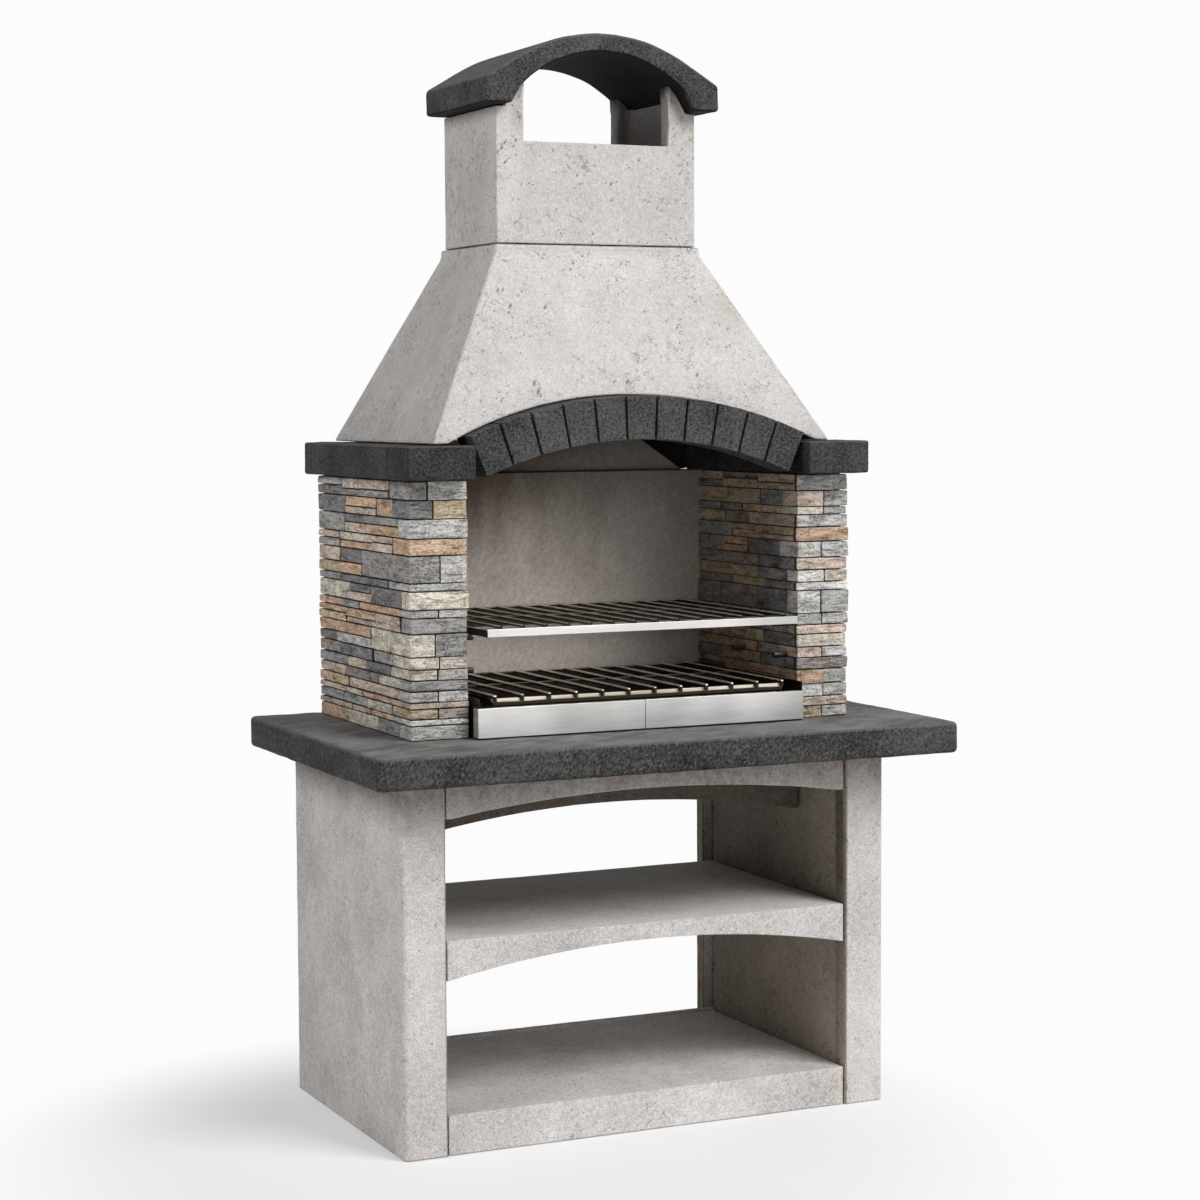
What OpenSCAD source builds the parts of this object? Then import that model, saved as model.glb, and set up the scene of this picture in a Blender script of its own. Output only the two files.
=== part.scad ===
/* [Base] */
// Width of the base over both side panels
base_w = 1084; // [900:1:1240]
// Depth of the base, front to back
base_d = 642; // [560:1:720]
// Thickness of each side panel
panel_t = 92; // [70:1:120]
// Height of the side panels, from the floor to the underside of the worktop
panel_h = 752; // [700:1:820]
// Rounding of the panels' outer front edges
panel_edge_r = 12; // [4:1:30]
// Depth of the thick front strip on the inside of a panel
pilaster_d = 40; // [24:1:60]
// How far the inside of a panel is recessed behind its front strip
panel_recess = 4; // [2:0.5:10]
// Depth of the return strip at the rear of a panel
return_d = 32; // [20:1:50]
// How far the return strip stands into the base
return_w = 24; // [8:1:40]
// Width and depth of the groove along the return strip
return_groove = 4; // [2:0.5:6]

/* [Shelves] */
// Height of the bottom shelf's top face above the floor
low_shelf_z = 82; // [70:1:110]
// Height of the middle shelf's top face above the floor
mid_shelf_z = 429; // [380:1:480]
// Thickness of the shelf slabs
shelf_t = 35; // [28:1:45]
// Height of the middle shelf's front apron at its ends
apron_h = 81; // [70:1:100]
// Rise of the arch that is cut in the apron
apron_rise = 46; // [20:1:52]
// Depth of a shelf's front apron, front to back
apron_d = 55; // [40:1:80]
// Open joint between a shelf's end and the side panel
shelf_joint = 2; // [1:0.5:4]
// How far shelves and lintels stand back behind the panels' front
shelf_recess = 5; // [2:0.5:10]
// Height of the lip along the bottom shelf's rear edge
lip_h = 6; // [3:0.5:12]
// Depth of that lip
lip_d = 18; // [10:1:30]
// Width of the cast ledges that carry the shelves
ledge_w = 30; // [20:1:40]
// Height of those ledges
ledge_h = 42; // [30:1:60]

/* [Lintels] */
// Depth of a lintel, front to back
lintel_d = 60; // [40:1:80]
// Height of the front lintel at its ends
lintel_h = 82; // [60:1:95]
// Rise of the arch under the front lintel
lintel_rise = 33; // [15:1:40]
// Height of the inner lintel at its ends
inner_lintel_h = 147; // [100:1:160]
// Rise of the arch under the inner lintel
inner_lintel_rise = 43; // [20:1:60]
// Distance from the front of the base to the inner lintel
inner_lintel_y = 198; // [120:1:300]
// Flat pad at each end of a lintel's underside
lintel_pad = 14; // [6:1:30]
// Length of the tongue that sits in the panel's slot
tongue_l = 18; // [10:1:30]
// Height of the tongue
tongue_h = 56; // [40:1:70]
// Depth that the tongue is drawn in from a lintel's faces
tongue_inset = 12; // [6:1:18]
// Clearance round a tongue in its slot
slot_gap = 0.5; // [0.3:0.1:1.5]

/* [Worktop] */
// Width of the worktop
top_w = 1286; // [1150:1:1400]
// Depth of the worktop, flush with the base at the rear
top_d = 782; // [700:1:860]
// Thickness of the worktop
top_t = 67; // [50:1:90]
// Rounding of the worktop's front corners
top_corner_r = 20; // [8:1:50]

/* [Firebox] */
// Clear width of the fire chamber between the stone faces
chamber_w = 738; // [680:1:800]
// Thickness of a side wall over its stone faces
wall_t = 128; // [104:1:150]
// Depth of a side wall
wall_d = 541; // [500:1:560]
// Height of the side walls
wall_h = 511; // [460:1:560]
// Distance from the front of the base to the front of the walls
wall_setback = 66; // [40:1:90]
// Depth of the chamber, from the wall fronts to the back panel
chamber_d = 457; // [440:1:470]
// Thickness of the back panel
back_t = 60; // [40:1:66]

/* [Stone Cladding] */
// Thickness of the stones in front of the wall core
stone_t = 16; // [10:1:24]
// Number of stones along a course on the outer face, behind the corner stone
outer_stones = 3; // [2:1:5]
// Number of stones along a course on the inner face, behind the corner stone
inner_stones = 3; // [2:1:5]
// Open joint between neighbouring stones
stone_joint = 2; // [1:0.5:4]
// Least height of a stone that may be laid as two thin ones instead
stack_h = 28; // [24:1:40]
// Share of those stones that are laid as two
stack_share = 0.6; // [0:0.05:1]
// Most that a stone is set back behind the wall's face
stone_setback = 4; // [0:0.5:6]
// Shortest side leg of a corner stone
corner_leg_min = 48; // [30:1:70]
// Longest side leg of a corner stone
corner_leg_max = 132; // [90:1:150]

/* [Cornice] */
// Height of the cornice
cornice_h = 70; // [50:1:90]
// How far the cornice stands out over the side walls
cornice_side_over = 19; // [10:1:50]
// How far the cornice stands out in front of the walls
cornice_front_over = 50; // [30:1:60]
// Depth of the cornice's front blocks
cornice_block_d = 115; // [90:1:160]
// How far the cornice runs past the wall at the rear
cornice_rear_over = 27; // [5:1:32]
// Thickness of the rear beam that closes the cornice
rear_beam_t = 93; // [60:1:100]
// Depth of the smoke bevels at the front of the rear beam's upper corners
beam_bevel_d = 36; // [20:1:40]
// Reach of a smoke bevel at the beam's foot, from the beam's end
beam_bevel_foot = 26; // [10:1:40]
// Reach of a smoke bevel at the beam's top, from the beam's end
beam_bevel_head = 130; // [60:1:150]

/* [Arch] */
// Number of wedge stones in the arch
voussoirs = 11; // [9:2:13]
// Radius of the arch's underside
arch_r = 850; // [840:1:860]
// Height of the arch ring
arch_t = 90; // [70:1:95]
// Clear width of the arch at its feet
arch_span = 680; // [660:1:684]
// Depth of the arch ring, front to back
arch_d = 80; // [60:1:100]
// Height of the arch's feet over the wall tops
arch_foot_z = 4; // [1:0.5:10]
// Distance from the front of the cornice back to the front of the arch
arch_setback = 27; // [10:1:40]
// Open joint between wedge stones
arch_joint = 3; // [2:0.5:5]

/* [Hood] */
// Width of the hood at its foot
hood_w = 892; // [860:1:940]
// Depth of the hood at its foot
hood_d = 581; // [560:1:620]
// Height of the hood's sloping part
hood_h = 388; // [340:1:440]
// Height of the upright collar on top of the hood
collar_h = 17; // [8:1:30]
// How far the collar is wider than the chimney, on each side
collar_over = 8; // [4:1:14]
// Thickness of the hood's walls, measured level
hood_t = 45; // [36:1:55]

/* [Chimney] */
// Width of the chimney
chimney_w = 454; // [420:1:480]
// Depth of the chimney
chimney_d = 285; // [260:1:310]
// Thickness of the chimney walls
chimney_t = 38; // [32:1:42]
// Distance from the hood's foot back to the chimney's front
chimney_setback = 190; // [170:1:210]
// Height of the chimney up to the flat ends of the cap
chimney_h = 280; // [250:1:320]
// Width of the smoke window
window_w = 328; // [260:1:336]
// Height of the window's sill above the foot of the chimney
window_sill = 210; // [180:1:235]

/* [Roof Cap] */
// Width of the cap
cap_w = 530; // [520:1:580]
// Depth of the cap
cap_d = 337; // [330:1:370]
// How far the cap stands out in front of the chimney
cap_front_over = 40; // [10:1:44]
// Height of the cap's upright ends
cap_end_h = 55; // [40:1:70]
// Radius of the cap's top
cap_r = 370; // [350:1:400]
// Height of the crown of the cap above its flat ends
cap_rise = 151; // [145:1:156]
// Half width of the round part of the cap's top
cap_round_half = 190; // [170:1:200]
// Radius of the cap's underside
cap_under_r = 265; // [255:1:280]
// Thickness of the cap at its crown
cap_crown_t = 40; // [36:1:48]
// Half width of the round part of the cap's underside
cap_under_half = 185; // [175:1:190]
// Half width of the hollow where it leaves the flat ends
cap_foot_half = 206; // [200:1:212]

/* [Support Pegs] */
// Diameter of the steel pegs
peg_dia = 12; // [8:0.5:16]
// Length of a peg inside the wall
peg_in = 30; // [20:1:40]
// Length of a peg outside the wall
peg_out = 27; // [24:1:32]
// Distance from the wall's front to the front pegs
peg_front = 52; // [45:1:80]
// Distance between front and rear pegs
peg_pitch = 185; // [160:1:190]
// Height difference between the two rows of pegs
peg_rows = 66; // [55:1:70]
// Clearance between a peg and its hole
peg_fit = 0.1; // [0.05:0.05:0.3]

/* [Upper Grill] */
// Width of the upper grill
grill_w = 696; // [690:1:700]
// Height of the grill's underside above the worktop
grill_z = 202; // [190:1:230]
// Distance that the grill stands out in front of the walls
grill_front = 42; // [20:1:48]
// Height of the front profile
grill_lip_h = 16; // [12:1:22]
// Depth of the front profile's top flange
grill_flange_d = 35; // [20:1:45]
// Sheet thickness of the front profile
grill_sheet = 2; // [1.5:0.5:3]
// Thickness of the frame's flat bars
grill_bar_t = 5; // [4:0.5:8]
// Diameter of the grill's rods
grill_rod_dia = 6; // [5:0.5:8]
// Number of rods across the grill
grill_rods = 14; // [10:1:20]
// Gap between the rear of the grill and the back panel
grill_rear_gap = 10; // [6:1:30]

/* [Fire Tray] */
// Width of the pan
pan_w = 729; // [700:1:731]
// Height of the pan's side and rear walls
pan_h = 80; // [74:1:90]
// Height of the pan's front wall
pan_front_h = 59; // [50:1:60]
// Sheet thickness of the pan
pan_sheet = 2.5; // [2:0.5:4]
// Distance that the pan stands out in front of the walls
pan_front = 32; // [20:1:40]
// Sheet thickness of the front plates
plate_sheet = 2; // [1.5:0.5:3]
// Gap under the front plates
plate_foot_gap = 2; // [1:0.5:5]
// Depth of the front plates' top lip
plate_lip_d = 12; // [8:1:20]
// Depth of the front plates' end returns
plate_return_d = 24; // [10:1:30]
// Open seam between the two front plates
plate_seam = 0.8; // [0.4:0.1:2]

/* [Fire Grate] */
// Width of the fire grate
grate_w = 655; // [620:1:670]
// Gap from the pan's front to the grate's front bar
grate_front_gap = 19; // [16:1:30]
// Height of the front bar's top face above the worktop
grate_z = 77; // [74:1:84]
// Height of the grate's flat bars
grate_bar_h = 14; // [10:1:18]
// Thickness of the grate's flat bars
grate_bar_t = 6; // [4:0.5:8]
// Depth of the bright front bar
grate_front_d = 12; // [8:1:16]
// Diameter of the grate's rods
grate_rod_dia = 8; // [6:0.5:10]
// Number of rods across the grate, with one over each side bar
grate_rods = 12; // [10:1:18]
// Length of the hook at the front of a rod
grate_hook = 10; // [6:1:12]
// Diameter of the grate's legs
grate_leg_dia = 10; // [8:0.5:12]
// Distance of the legs from the grate's front and rear
grate_leg_inset = 30; // [20:1:60]

/* [Hidden] */
$fn = 64;
eps = 1;
seat = 0.3;
arc_steps = 40;

base_rear = top_d / 2;
base_front = base_rear - base_d;
inner_half = base_w / 2 - panel_t;
shelf_half = inner_half - shelf_joint;
shelf_rear = base_rear - return_d - shelf_joint;
lintel_front = base_front + shelf_recess;

top_z = panel_h + top_t;
wall_front = base_front + wall_setback;
wall_rear = wall_front + wall_d;
wall_top = top_z + wall_h;
chamber_half = chamber_w / 2;
back_front = wall_front + chamber_d;
core_in = chamber_half + stone_t;
core_t = wall_t - 2 * stone_t;

cornice_out = chamber_half + wall_t + cornice_side_over;
cornice_front = wall_front - cornice_front_over;
cornice_rear = wall_rear + cornice_rear_over;
cornice_top = wall_top + cornice_h;

arch_half = arch_span / 2;
arch_angle = asin(arch_half / arch_r);
arch_centre_z = wall_top + arch_foot_z - arch_r * cos(arch_angle);
arch_out_r = arch_r + arch_t;
arch_front = cornice_front + arch_setback;
block_in = arch_half + (cornice_top - wall_top - arch_foot_z) * tan(arch_angle) + shelf_joint;

hood_rear = base_rear;
hood_front = hood_rear - hood_d;
hood_top = cornice_top + hood_h;
chimney_front = hood_front + chimney_setback;
chimney_z = hood_top + collar_h;
collar_half = chimney_w / 2 + collar_over;
collar_front = chimney_front - collar_over;
collar_rear = chimney_front + chimney_d + collar_over;

cap_z = chimney_z + chimney_h;
cap_front = chimney_front - cap_front_over;
cap_underside = concat([[-cap_foot_half, 0]],
    arc_points(cap_under_r, cap_under_half, cap_rise - cap_crown_t), [[cap_foot_half, 0]]);
cap_top = concat([[-cap_w / 2, cap_end_h]],
    arc_points(cap_r, cap_round_half, cap_rise), [[cap_w / 2, cap_end_h]]);

// Heights of the stone courses as on the photographed object, from the worktop up, and the share
// of a wall's front that the outer corner stone of each course takes
left_courses = [27, 12, 19, 12, 20, 20, 20, 23, 42, 29, 15, 34, 15, 50, 31, 36, 34, 35];
left_shares = [1, 1, 0.49, 1, 0.49, 1, 0.49, 0.52, 0.45, 1, 0.51, 1, 1, 0.54, 1, 1, 0.43, 0.34];
right_courses = [23, 19, 26, 29, 24, 21, 26, 19, 23, 46, 17, 24, 25, 32, 29, 25, 16, 32, 33];
right_shares =
    [0.52, 1, 0.5, 0.49, 1, 0.52, 1, 1, 0.53, 0.54, 1, 0.47, 1, 0.53, 1, 1, 0.49, 0.49, 1];

pegs_top_z = top_z + grill_z - seat - peg_dia / 2;
peg_v = [peg_front, peg_front + peg_pitch];
peg_z = [pegs_top_z, pegs_top_z - peg_rows];

grill_y0 = wall_front - grill_front;
grill_y1 = back_front - grill_rear_gap;
grill_bottom = top_z + grill_z;
grill_top = grill_bottom + grill_lip_h;

pan_y0 = wall_front - pan_front;
pan_y1 = back_front - grill_rear_gap;
plate_half = pan_w / 2 + plate_sheet;
plate_top = top_z + pan_front_h + plate_sheet;

grate_half = grate_w / 2;
grate_y0 = pan_y0 + grate_front_gap;
grate_y1 = pan_y1 - grate_front_gap;
grate_top = top_z + grate_z;
grate_bottom = grate_top - grate_bar_h;

voussoir_names = [for (i = [1:voussoirs]) str("voussoir_", i < 10 ? "0" : "", i)];

concrete = "gainsboro";
basalt = "dimgray";
dark_steel = "darkslategray";
stainless = "silver";
stone_tones = ["slategray", "tan", "darkgray", "wheat", "lightslategray", "burlywood", "gray"];

// Sum of a list
function total(v) = v * [for (x = v) 1];

// Start of each part when the parts of a list are laid end to end
function starts(v) = [for (i = 0, s = 0; i < len(v); s = s + v[i], i = i + 1) s];

// A length split into uneven parts
function uneven(length, parts, seed, spread = 0.38) =
    let (r = rands(1 - spread, 1 + spread, parts, seed)) r * (length / total(r));

// Radius of an arc over a half chord with a given rise
function arc_radius(half, rise) = (half * half + rise * rise) / (2 * rise);

// Points of an arc over the middle, from left to right, below a given crown
function arc_points(r, half, crown) =
    let (a = asin(half / r))
    [for (i = [0:arc_steps]) let (t = a * (2 * i / arc_steps - 1)) [r * sin(t), crown - r + r * cos(t)]];

// A list from back to front
function reversed(v) = [for (i = [len(v) - 1:-1:0]) v[i]];

// A box between two corners
module box(low, high) {
    translate(low) cube(high - low);
}

// An outline drawn across X and Z, run from one Y to another
module along_y(y0, y1) {
    translate([0, y1, 0]) rotate([90, 0, 0]) linear_extrude(y1 - y0) children();
}

// An outline drawn across Y and Z, run from one X to another
module along_x(x0, x1) {
    translate([x0, 0, 0]) rotate([90, 0, 90]) linear_extrude(x1 - x0) children();
}

// The same thing on the other side of the middle
module left() {
    mirror([1, 0, 0]) children();
}

// The waste outside a rounded corner, towards +X and -Y
module corner_waste(r) {
    difference() {
        translate([-r, -eps]) square([r + eps, r + eps]);
        translate([-r, r]) circle(r);
    }
}

// Right side panel: rounded front edge, recessed inside, rear return, ledges and lintel slots
module side_panel() {
    outer = base_w / 2;
    difference() {
        union() {
            linear_extrude(panel_h) difference() {
                union() {
                    translate([inner_half + panel_recess, base_front])
                        square([panel_t - panel_recess, base_d]);
                    translate([inner_half, base_front]) square([panel_t, pilaster_d]);
                    translate([inner_half - return_w, base_rear - return_d])
                        square([panel_t + return_w, return_d]);
                }
                translate([outer, base_front]) corner_waste(panel_edge_r);
                translate([inner_half - return_w - eps, base_rear - return_d / 2])
                    square([return_groove + eps, return_groove]);
            }
            for (z = [low_shelf_z - shelf_t, mid_shelf_z - shelf_t])
                box([inner_half + panel_recess - ledge_w, lintel_front + apron_d + shelf_joint,
                        max(0, z - ledge_h)],
                    [inner_half + panel_recess + eps, shelf_rear - apron_d - shelf_joint, z]);
        }
        for (y = [lintel_front, base_front + inner_lintel_y])
            box([inner_half - eps, y + tongue_inset - slot_gap, panel_h - tongue_h - slot_gap],
                [inner_half + tongue_l, y + lintel_d - tongue_inset + slot_gap, panel_h + eps]);
    }
}

// The underside of an arched beam: a flat pad at each end and a shallow arc between
module arch_cut(half, rise, z) {
    r = arc_radius(half, rise);
    intersection() {
        translate([0, z + rise - r]) circle(r, $fn = 360);
        translate([-half, z - eps]) square([2 * half, rise + 2 * eps]);
    }
}

// A beam with an arched underside and a tongue at each end
module lintel(y, h, rise) {
    difference() {
        union() {
            box([-shelf_half, y, panel_h - h], [shelf_half, y + lintel_d, panel_h]);
            box([-inner_half - tongue_l + slot_gap, y + tongue_inset, panel_h - tongue_h],
                [inner_half + tongue_l - slot_gap, y + lintel_d - tongue_inset, panel_h]);
        }
        along_y(y - eps, y + lintel_d + eps)
            arch_cut(shelf_half - lintel_pad, rise, panel_h - h);
    }
}

// Bottom shelf: slab on front and rear skirts that stand on the floor, with a rear lip
module bottom_shelf() {
    front = lintel_front;
    color(concrete) union() {
        box([-shelf_half, front, low_shelf_z - shelf_t], [shelf_half, shelf_rear, low_shelf_z]);
        box([-shelf_half, front, 0], [shelf_half, front + apron_d, low_shelf_z]);
        box([-shelf_half, shelf_rear - apron_d, 0], [shelf_half, shelf_rear, low_shelf_z]);
        box([-shelf_half, shelf_rear - lip_d, low_shelf_z - eps],
            [shelf_half, shelf_rear, low_shelf_z + lip_h]);
    }
}

// Middle shelf: slab on the panels' ledges, with an arched apron in front
module middle_shelf() {
    front = lintel_front;
    color(concrete) difference() {
        union() {
            box([-shelf_half, front, mid_shelf_z - shelf_t], [shelf_half, shelf_rear, mid_shelf_z]);
            box([-shelf_half, front, mid_shelf_z - apron_h],
                [shelf_half, front + apron_d, mid_shelf_z]);
        }
        along_y(front - eps, front + apron_d + eps)
            arch_cut(shelf_half, apron_rise, mid_shelf_z - apron_h);
    }
}

// Worktop slab with rounded front corners
module worktop() {
    color(basalt) translate([0, 0, panel_h]) linear_extrude(top_t) difference() {
        translate([-top_w / 2, -top_d / 2]) square([top_w, top_d]);
        translate([top_w / 2, -top_d / 2]) corner_waste(top_corner_r);
        mirror([1, 0]) translate([top_w / 2, -top_d / 2]) corner_waste(top_corner_r);
    }
}

// The holes for the support pegs in a right-hand wall
module peg_holes() {
    for (v = peg_v, z = peg_z)
        translate([chamber_half - eps, wall_front + v, z])
            rotate([0, 90, 0]) cylinder(d = peg_dia + 2 * peg_fit, h = peg_in + eps);
}

// Right wall core, a cast block behind the stones
module wall_core() {
    difference() {
        box([core_in, wall_front + stone_t, top_z], [core_in + core_t, wall_rear, wall_top]);
        peg_holes();
    }
}

// One course of corner stones and face stones, in the wall's own plan:
// u runs outwards from the chamber's face, v runs back from the wall's front
module stone_plan(points, z0, z1) {
    translate([chamber_half, wall_front, z0]) linear_extrude(z1 - z0) polygon(points);
}

// Lower and upper edges of a stone, or of the two thin ones that stand in its place
function layers(z0, z1, pick) =
    let (cut = z0 + (z1 - z0) * (0.36 + 0.28 * pick[1]))
    z1 - z0 > stack_h && pick[0] < stack_share
        ? [[z0, cut - stone_joint / 2], [cut + stone_joint / 2, z1]] : [[z0, z1]];

// Stones along a face, between two depths
module face_stones(u0, u1, v0, v1, count, set_towards, seed, z0, z1) {
    lengths = uneven(v1 - v0, count, seed);
    begin = starts(lengths);
    for (i = [0:count - 1])
        let (
            a = v0 + begin[i],
            b = a + lengths[i] - (i < count - 1 ? stone_joint : 0),
            backs = rands(0, stone_setback, 2, seed + 1 + i),
            levels = layers(z0, z1, rands(0, 1, 2, seed + 7 + i))
        )
        for (j = [0:len(levels) - 1])
            let (
                near = set_towards > 0 ? u0 : u0 + backs[j],
                far = set_towards > 0 ? u1 - backs[j] : u1
            )
            color(stone_tones[floor(rands(0, 6.99, 1, seed + i + 3 * j)[0])])
                stone_plan([[near, a], [far, a], [far, b], [near, b]], levels[j][0], levels[j][1]);
}

// Side leg of a corner stone
function corner_leg(seed) = rands(corner_leg_min, corner_leg_max, 1, seed)[0];

// Heights of a wall's courses, scaled to the wall
function course_heights(courses) = courses * (wall_h / total(courses));

// Every course of a wall's outer stones, with the outer corner stones
module outer_stones(courses, shares, seed) {
    heights = course_heights(courses);
    floors = starts(heights);
    for (c = [0:len(courses) - 1])
        let (
            key = seed + 40 * c,
            z0 = top_z + floors[c],
            z1 = z0 + heights[c] - stone_joint,
            share = shares[c],
            back = rands(0, stone_setback, 1, key + 2)[0],
            leg = corner_leg(key + 3),
            u_far = wall_t - back,
            u_near = share == 1 ? back : wall_t * (1 - share) + stone_joint
        ) {
            color(stone_tones[floor(rands(0, 6.99, 1, key + 4)[0])])
                stone_plan([[u_near, back], [u_far, back], [u_far, leg], [wall_t - stone_t, leg],
                    [wall_t - stone_t, stone_t], [u_near, stone_t]], z0, z1);
            face_stones(wall_t - stone_t, wall_t, leg + stone_joint, wall_d, outer_stones,
                1, key + 5, z0, z1);
        }
}

// Every course of a wall's inner stones, with the inner corner stones
module inner_stones(courses, shares, seed) {
    heights = course_heights(courses);
    floors = starts(heights);
    for (c = [0:len(courses) - 1])
        let (
            key = seed + 40 * c,
            z0 = top_z + floors[c],
            z1 = z0 + heights[c] - stone_joint,
            share = shares[c],
            back = rands(0, stone_setback, 1, key + 20)[0],
            leg = corner_leg(key + 21),
            begin = share == 1 ? stone_t + stone_joint : leg + stone_joint
        ) {
            if (share < 1)
                color(stone_tones[floor(rands(0, 6.99, 1, key + 22)[0])])
                    stone_plan([[back, back], [wall_t * (1 - share), back],
                        [wall_t * (1 - share), stone_t], [stone_t, stone_t],
                        [stone_t, leg], [back, leg]], z0, z1);
            face_stones(0, stone_t, begin, chamber_d - seat, inner_stones,
                -1, key + 23, z0, z1);
        }
}

// Inner stones with the peg holes drilled through them
module drilled_inner_stones(courses, shares, seed) {
    difference() {
        inner_stones(courses, shares, seed);
        peg_holes();
    }
}

// Refractory back panel between the wall cores
module back_panel() {
    half = core_in - seat;
    color(concrete) box([-half, back_front, top_z], [half, back_front + back_t, wall_top]);
}

// Front block of the right-hand cornice
module cornice_block() {
    box([block_in, cornice_front, wall_top],
        [cornice_out, cornice_front + cornice_block_d, cornice_top]);
}

// Side bar of the right-hand cornice
module cornice_bar() {
    box([chamber_half, cornice_front + cornice_block_d + shelf_joint / 2, wall_top],
        [cornice_out, cornice_rear, cornice_top]);
}

// Beam that closes the cornice at the rear and carries the hood's back
module rear_beam() {
    half = chamber_half - seat;
    front = cornice_rear - rear_beam_t;
    color(concrete) difference() {
        box([-half, front, wall_top], [half, cornice_rear, cornice_top]);
        for (side = [-1, 1])
            along_y(front - eps, front + beam_bevel_d) scale([side, 1]) polygon([
                [half - beam_bevel_foot, wall_top - eps], [half - beam_bevel_foot, wall_top],
                [half - beam_bevel_head, cornice_top], [half - beam_bevel_head, cornice_top + eps],
                [half + eps, cornice_top + eps], [half + eps, wall_top - eps]]);
    }
}

// One wedge stone of the arch, counted from the left
module voussoir(i) {
    step = 2 * arch_angle / voussoirs;
    bisector = -arch_angle + step * (i - 0.5);
    inset = arch_joint / 2 / sin(step / 2);
    reach = 2 * arch_out_r;
    color(basalt) along_y(arch_front, arch_front + arch_d)
        translate([0, arch_centre_z]) rotate(-bisector) intersection() {
            difference() {
                circle(arch_out_r, $fn = 720);
                circle(arch_r, $fn = 720);
            }
            translate([0, inset]) polygon([[0, 0],
                [-reach * sin(step / 2), reach * cos(step / 2)],
                [reach * sin(step / 2), reach * cos(step / 2)]]);
        }
}

// Outline of a block that tapers between two heights, on an upright skirt if asked for
function taper(foot, head, z0, z1, skirt) = concat(
    [[head[1], z1], [head[0], z1], [foot[0], z0]],
    skirt > 0 ? [[foot[0], z0 - skirt], [foot[1], z0 - skirt]] : [],
    [[foot[1], z0]]);

// A block with four sloping sides, from a foot to a head
module spire(foot_half, foot_y, head_half, head_y, z0, z1, skirt = 0) {
    intersection() {
        along_y(foot_y[0] - eps, max(foot_y[1], head_y[1]) + eps)
            polygon(taper([-foot_half, foot_half], [-head_half, head_half], z0, z1, skirt));
        along_x(-foot_half - eps, foot_half + eps)
            polygon(taper(foot_y, head_y, z0, z1, skirt));
    }
}

// Hood: hollow sloping shell with a collar, cut in front for the arch ring
module hood() {
    t = hood_t;
    color(concrete) difference() {
        union() {
            spire(hood_w / 2, [hood_front, hood_rear], collar_half, [collar_front, collar_rear],
                cornice_top, hood_top);
            box([-collar_half, collar_front, hood_top - eps], [collar_half, collar_rear, chimney_z]);
        }
        spire(hood_w / 2 - t, [hood_front + t, hood_rear - t],
            collar_half - t, [collar_front + t, collar_rear - t], cornice_top, hood_top, eps);
        box([-collar_half + t, collar_front + t, hood_top - eps],
            [collar_half - t, collar_rear - t, chimney_z + eps]);
        along_y(hood_front - eps, arch_front + arch_d + seat)
            translate([0, arch_centre_z]) circle(arch_out_r + seat, $fn = 720);
    }
}

// Roof cap: a barrel-shaped slab with flat ends
module roof_cap() {
    color(basalt) along_y(cap_front, cap_front + cap_d) translate([0, cap_z])
        polygon(concat(cap_underside, [[cap_w / 2, 0]], reversed(cap_top), [[-cap_w / 2, 0]]));
}

// Chimney: square flue with a smoke window front and rear, cut to the cap's underside
module chimney() {
    half = chimney_w / 2;
    rear = chimney_front + chimney_d;
    color(concrete) difference() {
        box([-half, chimney_front, chimney_z], [half, rear, cap_z + cap_rise - cap_crown_t]);
        box([-half + chimney_t, chimney_front + chimney_t, chimney_z - eps],
            [half - chimney_t, rear - chimney_t, cap_z + cap_rise]);
        box([-window_w / 2, chimney_front - eps, chimney_z + window_sill],
            [window_w / 2, rear + eps, cap_z + cap_rise]);
        along_y(chimney_front - eps, rear + eps) translate([0, cap_z - seat])
            polygon(concat([[-half - eps, 0]], cap_underside,
                [[half + eps, 0], [half + eps, cap_rise], [-half - eps, cap_rise]]));
    }
}

// Four steel pegs in the right-hand wall, in two rows
module grill_pegs() {
    for (v = peg_v, z = peg_z)
        translate([chamber_half - peg_out, wall_front + v, z])
            rotate([0, 90, 0]) cylinder(d = peg_dia, h = peg_out + peg_in - peg_fit);
}

// Upper grill: a welded frame of flat bars with rods from front to rear
module upper_grill_grid() {
    half = grill_w / 2;
    bar_z = grill_top - grill_sheet;
    rod_z = grill_top + seat / 3 + grill_rod_dia / 2;
    clear_w = grill_w - 2 * grill_bar_t;
    rear_cross = grill_y1 - grill_bar_t;
    mid_cross = (grill_y0 + grill_y1) / 2;
    color(dark_steel) union() {
        for (x = [-half, half - grill_bar_t])
            box([x, grill_y0 + grill_sheet, grill_bottom], [x + grill_bar_t, grill_y1, bar_z]);
        for (y = [rear_cross, mid_cross])
            box([-half + eps, y, grill_bottom], [half - eps, y + grill_bar_t, rod_z]);
        for (i = [0:grill_rods - 1])
            translate([clear_w * ((i + 0.5) / grill_rods - 0.5), grill_y0 + grill_sheet, rod_z])
                rotate([-90, 0, 0])
                    cylinder(d = grill_rod_dia, h = grill_y1 - grill_y0 - grill_sheet);
    }
}

// Folded stainless profile along the front of the upper grill
module upper_grill_front() {
    half = grill_w / 2;
    color(stainless) union() {
        box([-half, grill_y0, grill_bottom], [half, grill_y0 + grill_sheet, grill_top]);
        box([-half, grill_y0, grill_top - grill_sheet],
            [half, grill_y0 + grill_flange_d, grill_top]);
    }
}

// Steel pan of the fire tray, with a low front wall
module tray_pan() {
    half = pan_w / 2;
    s = pan_sheet;
    color(dark_steel) difference() {
        box([-half, pan_y0, top_z], [half, pan_y1, top_z + pan_h]);
        box([-half + s, pan_y0 + s, top_z + s], [half - s, pan_y1 - s, top_z + pan_h + eps]);
        box([-half + s, pan_y0 - eps, top_z + pan_front_h],
            [half - s, pan_y0 + s + eps, top_z + pan_h + eps]);
    }
}

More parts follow.
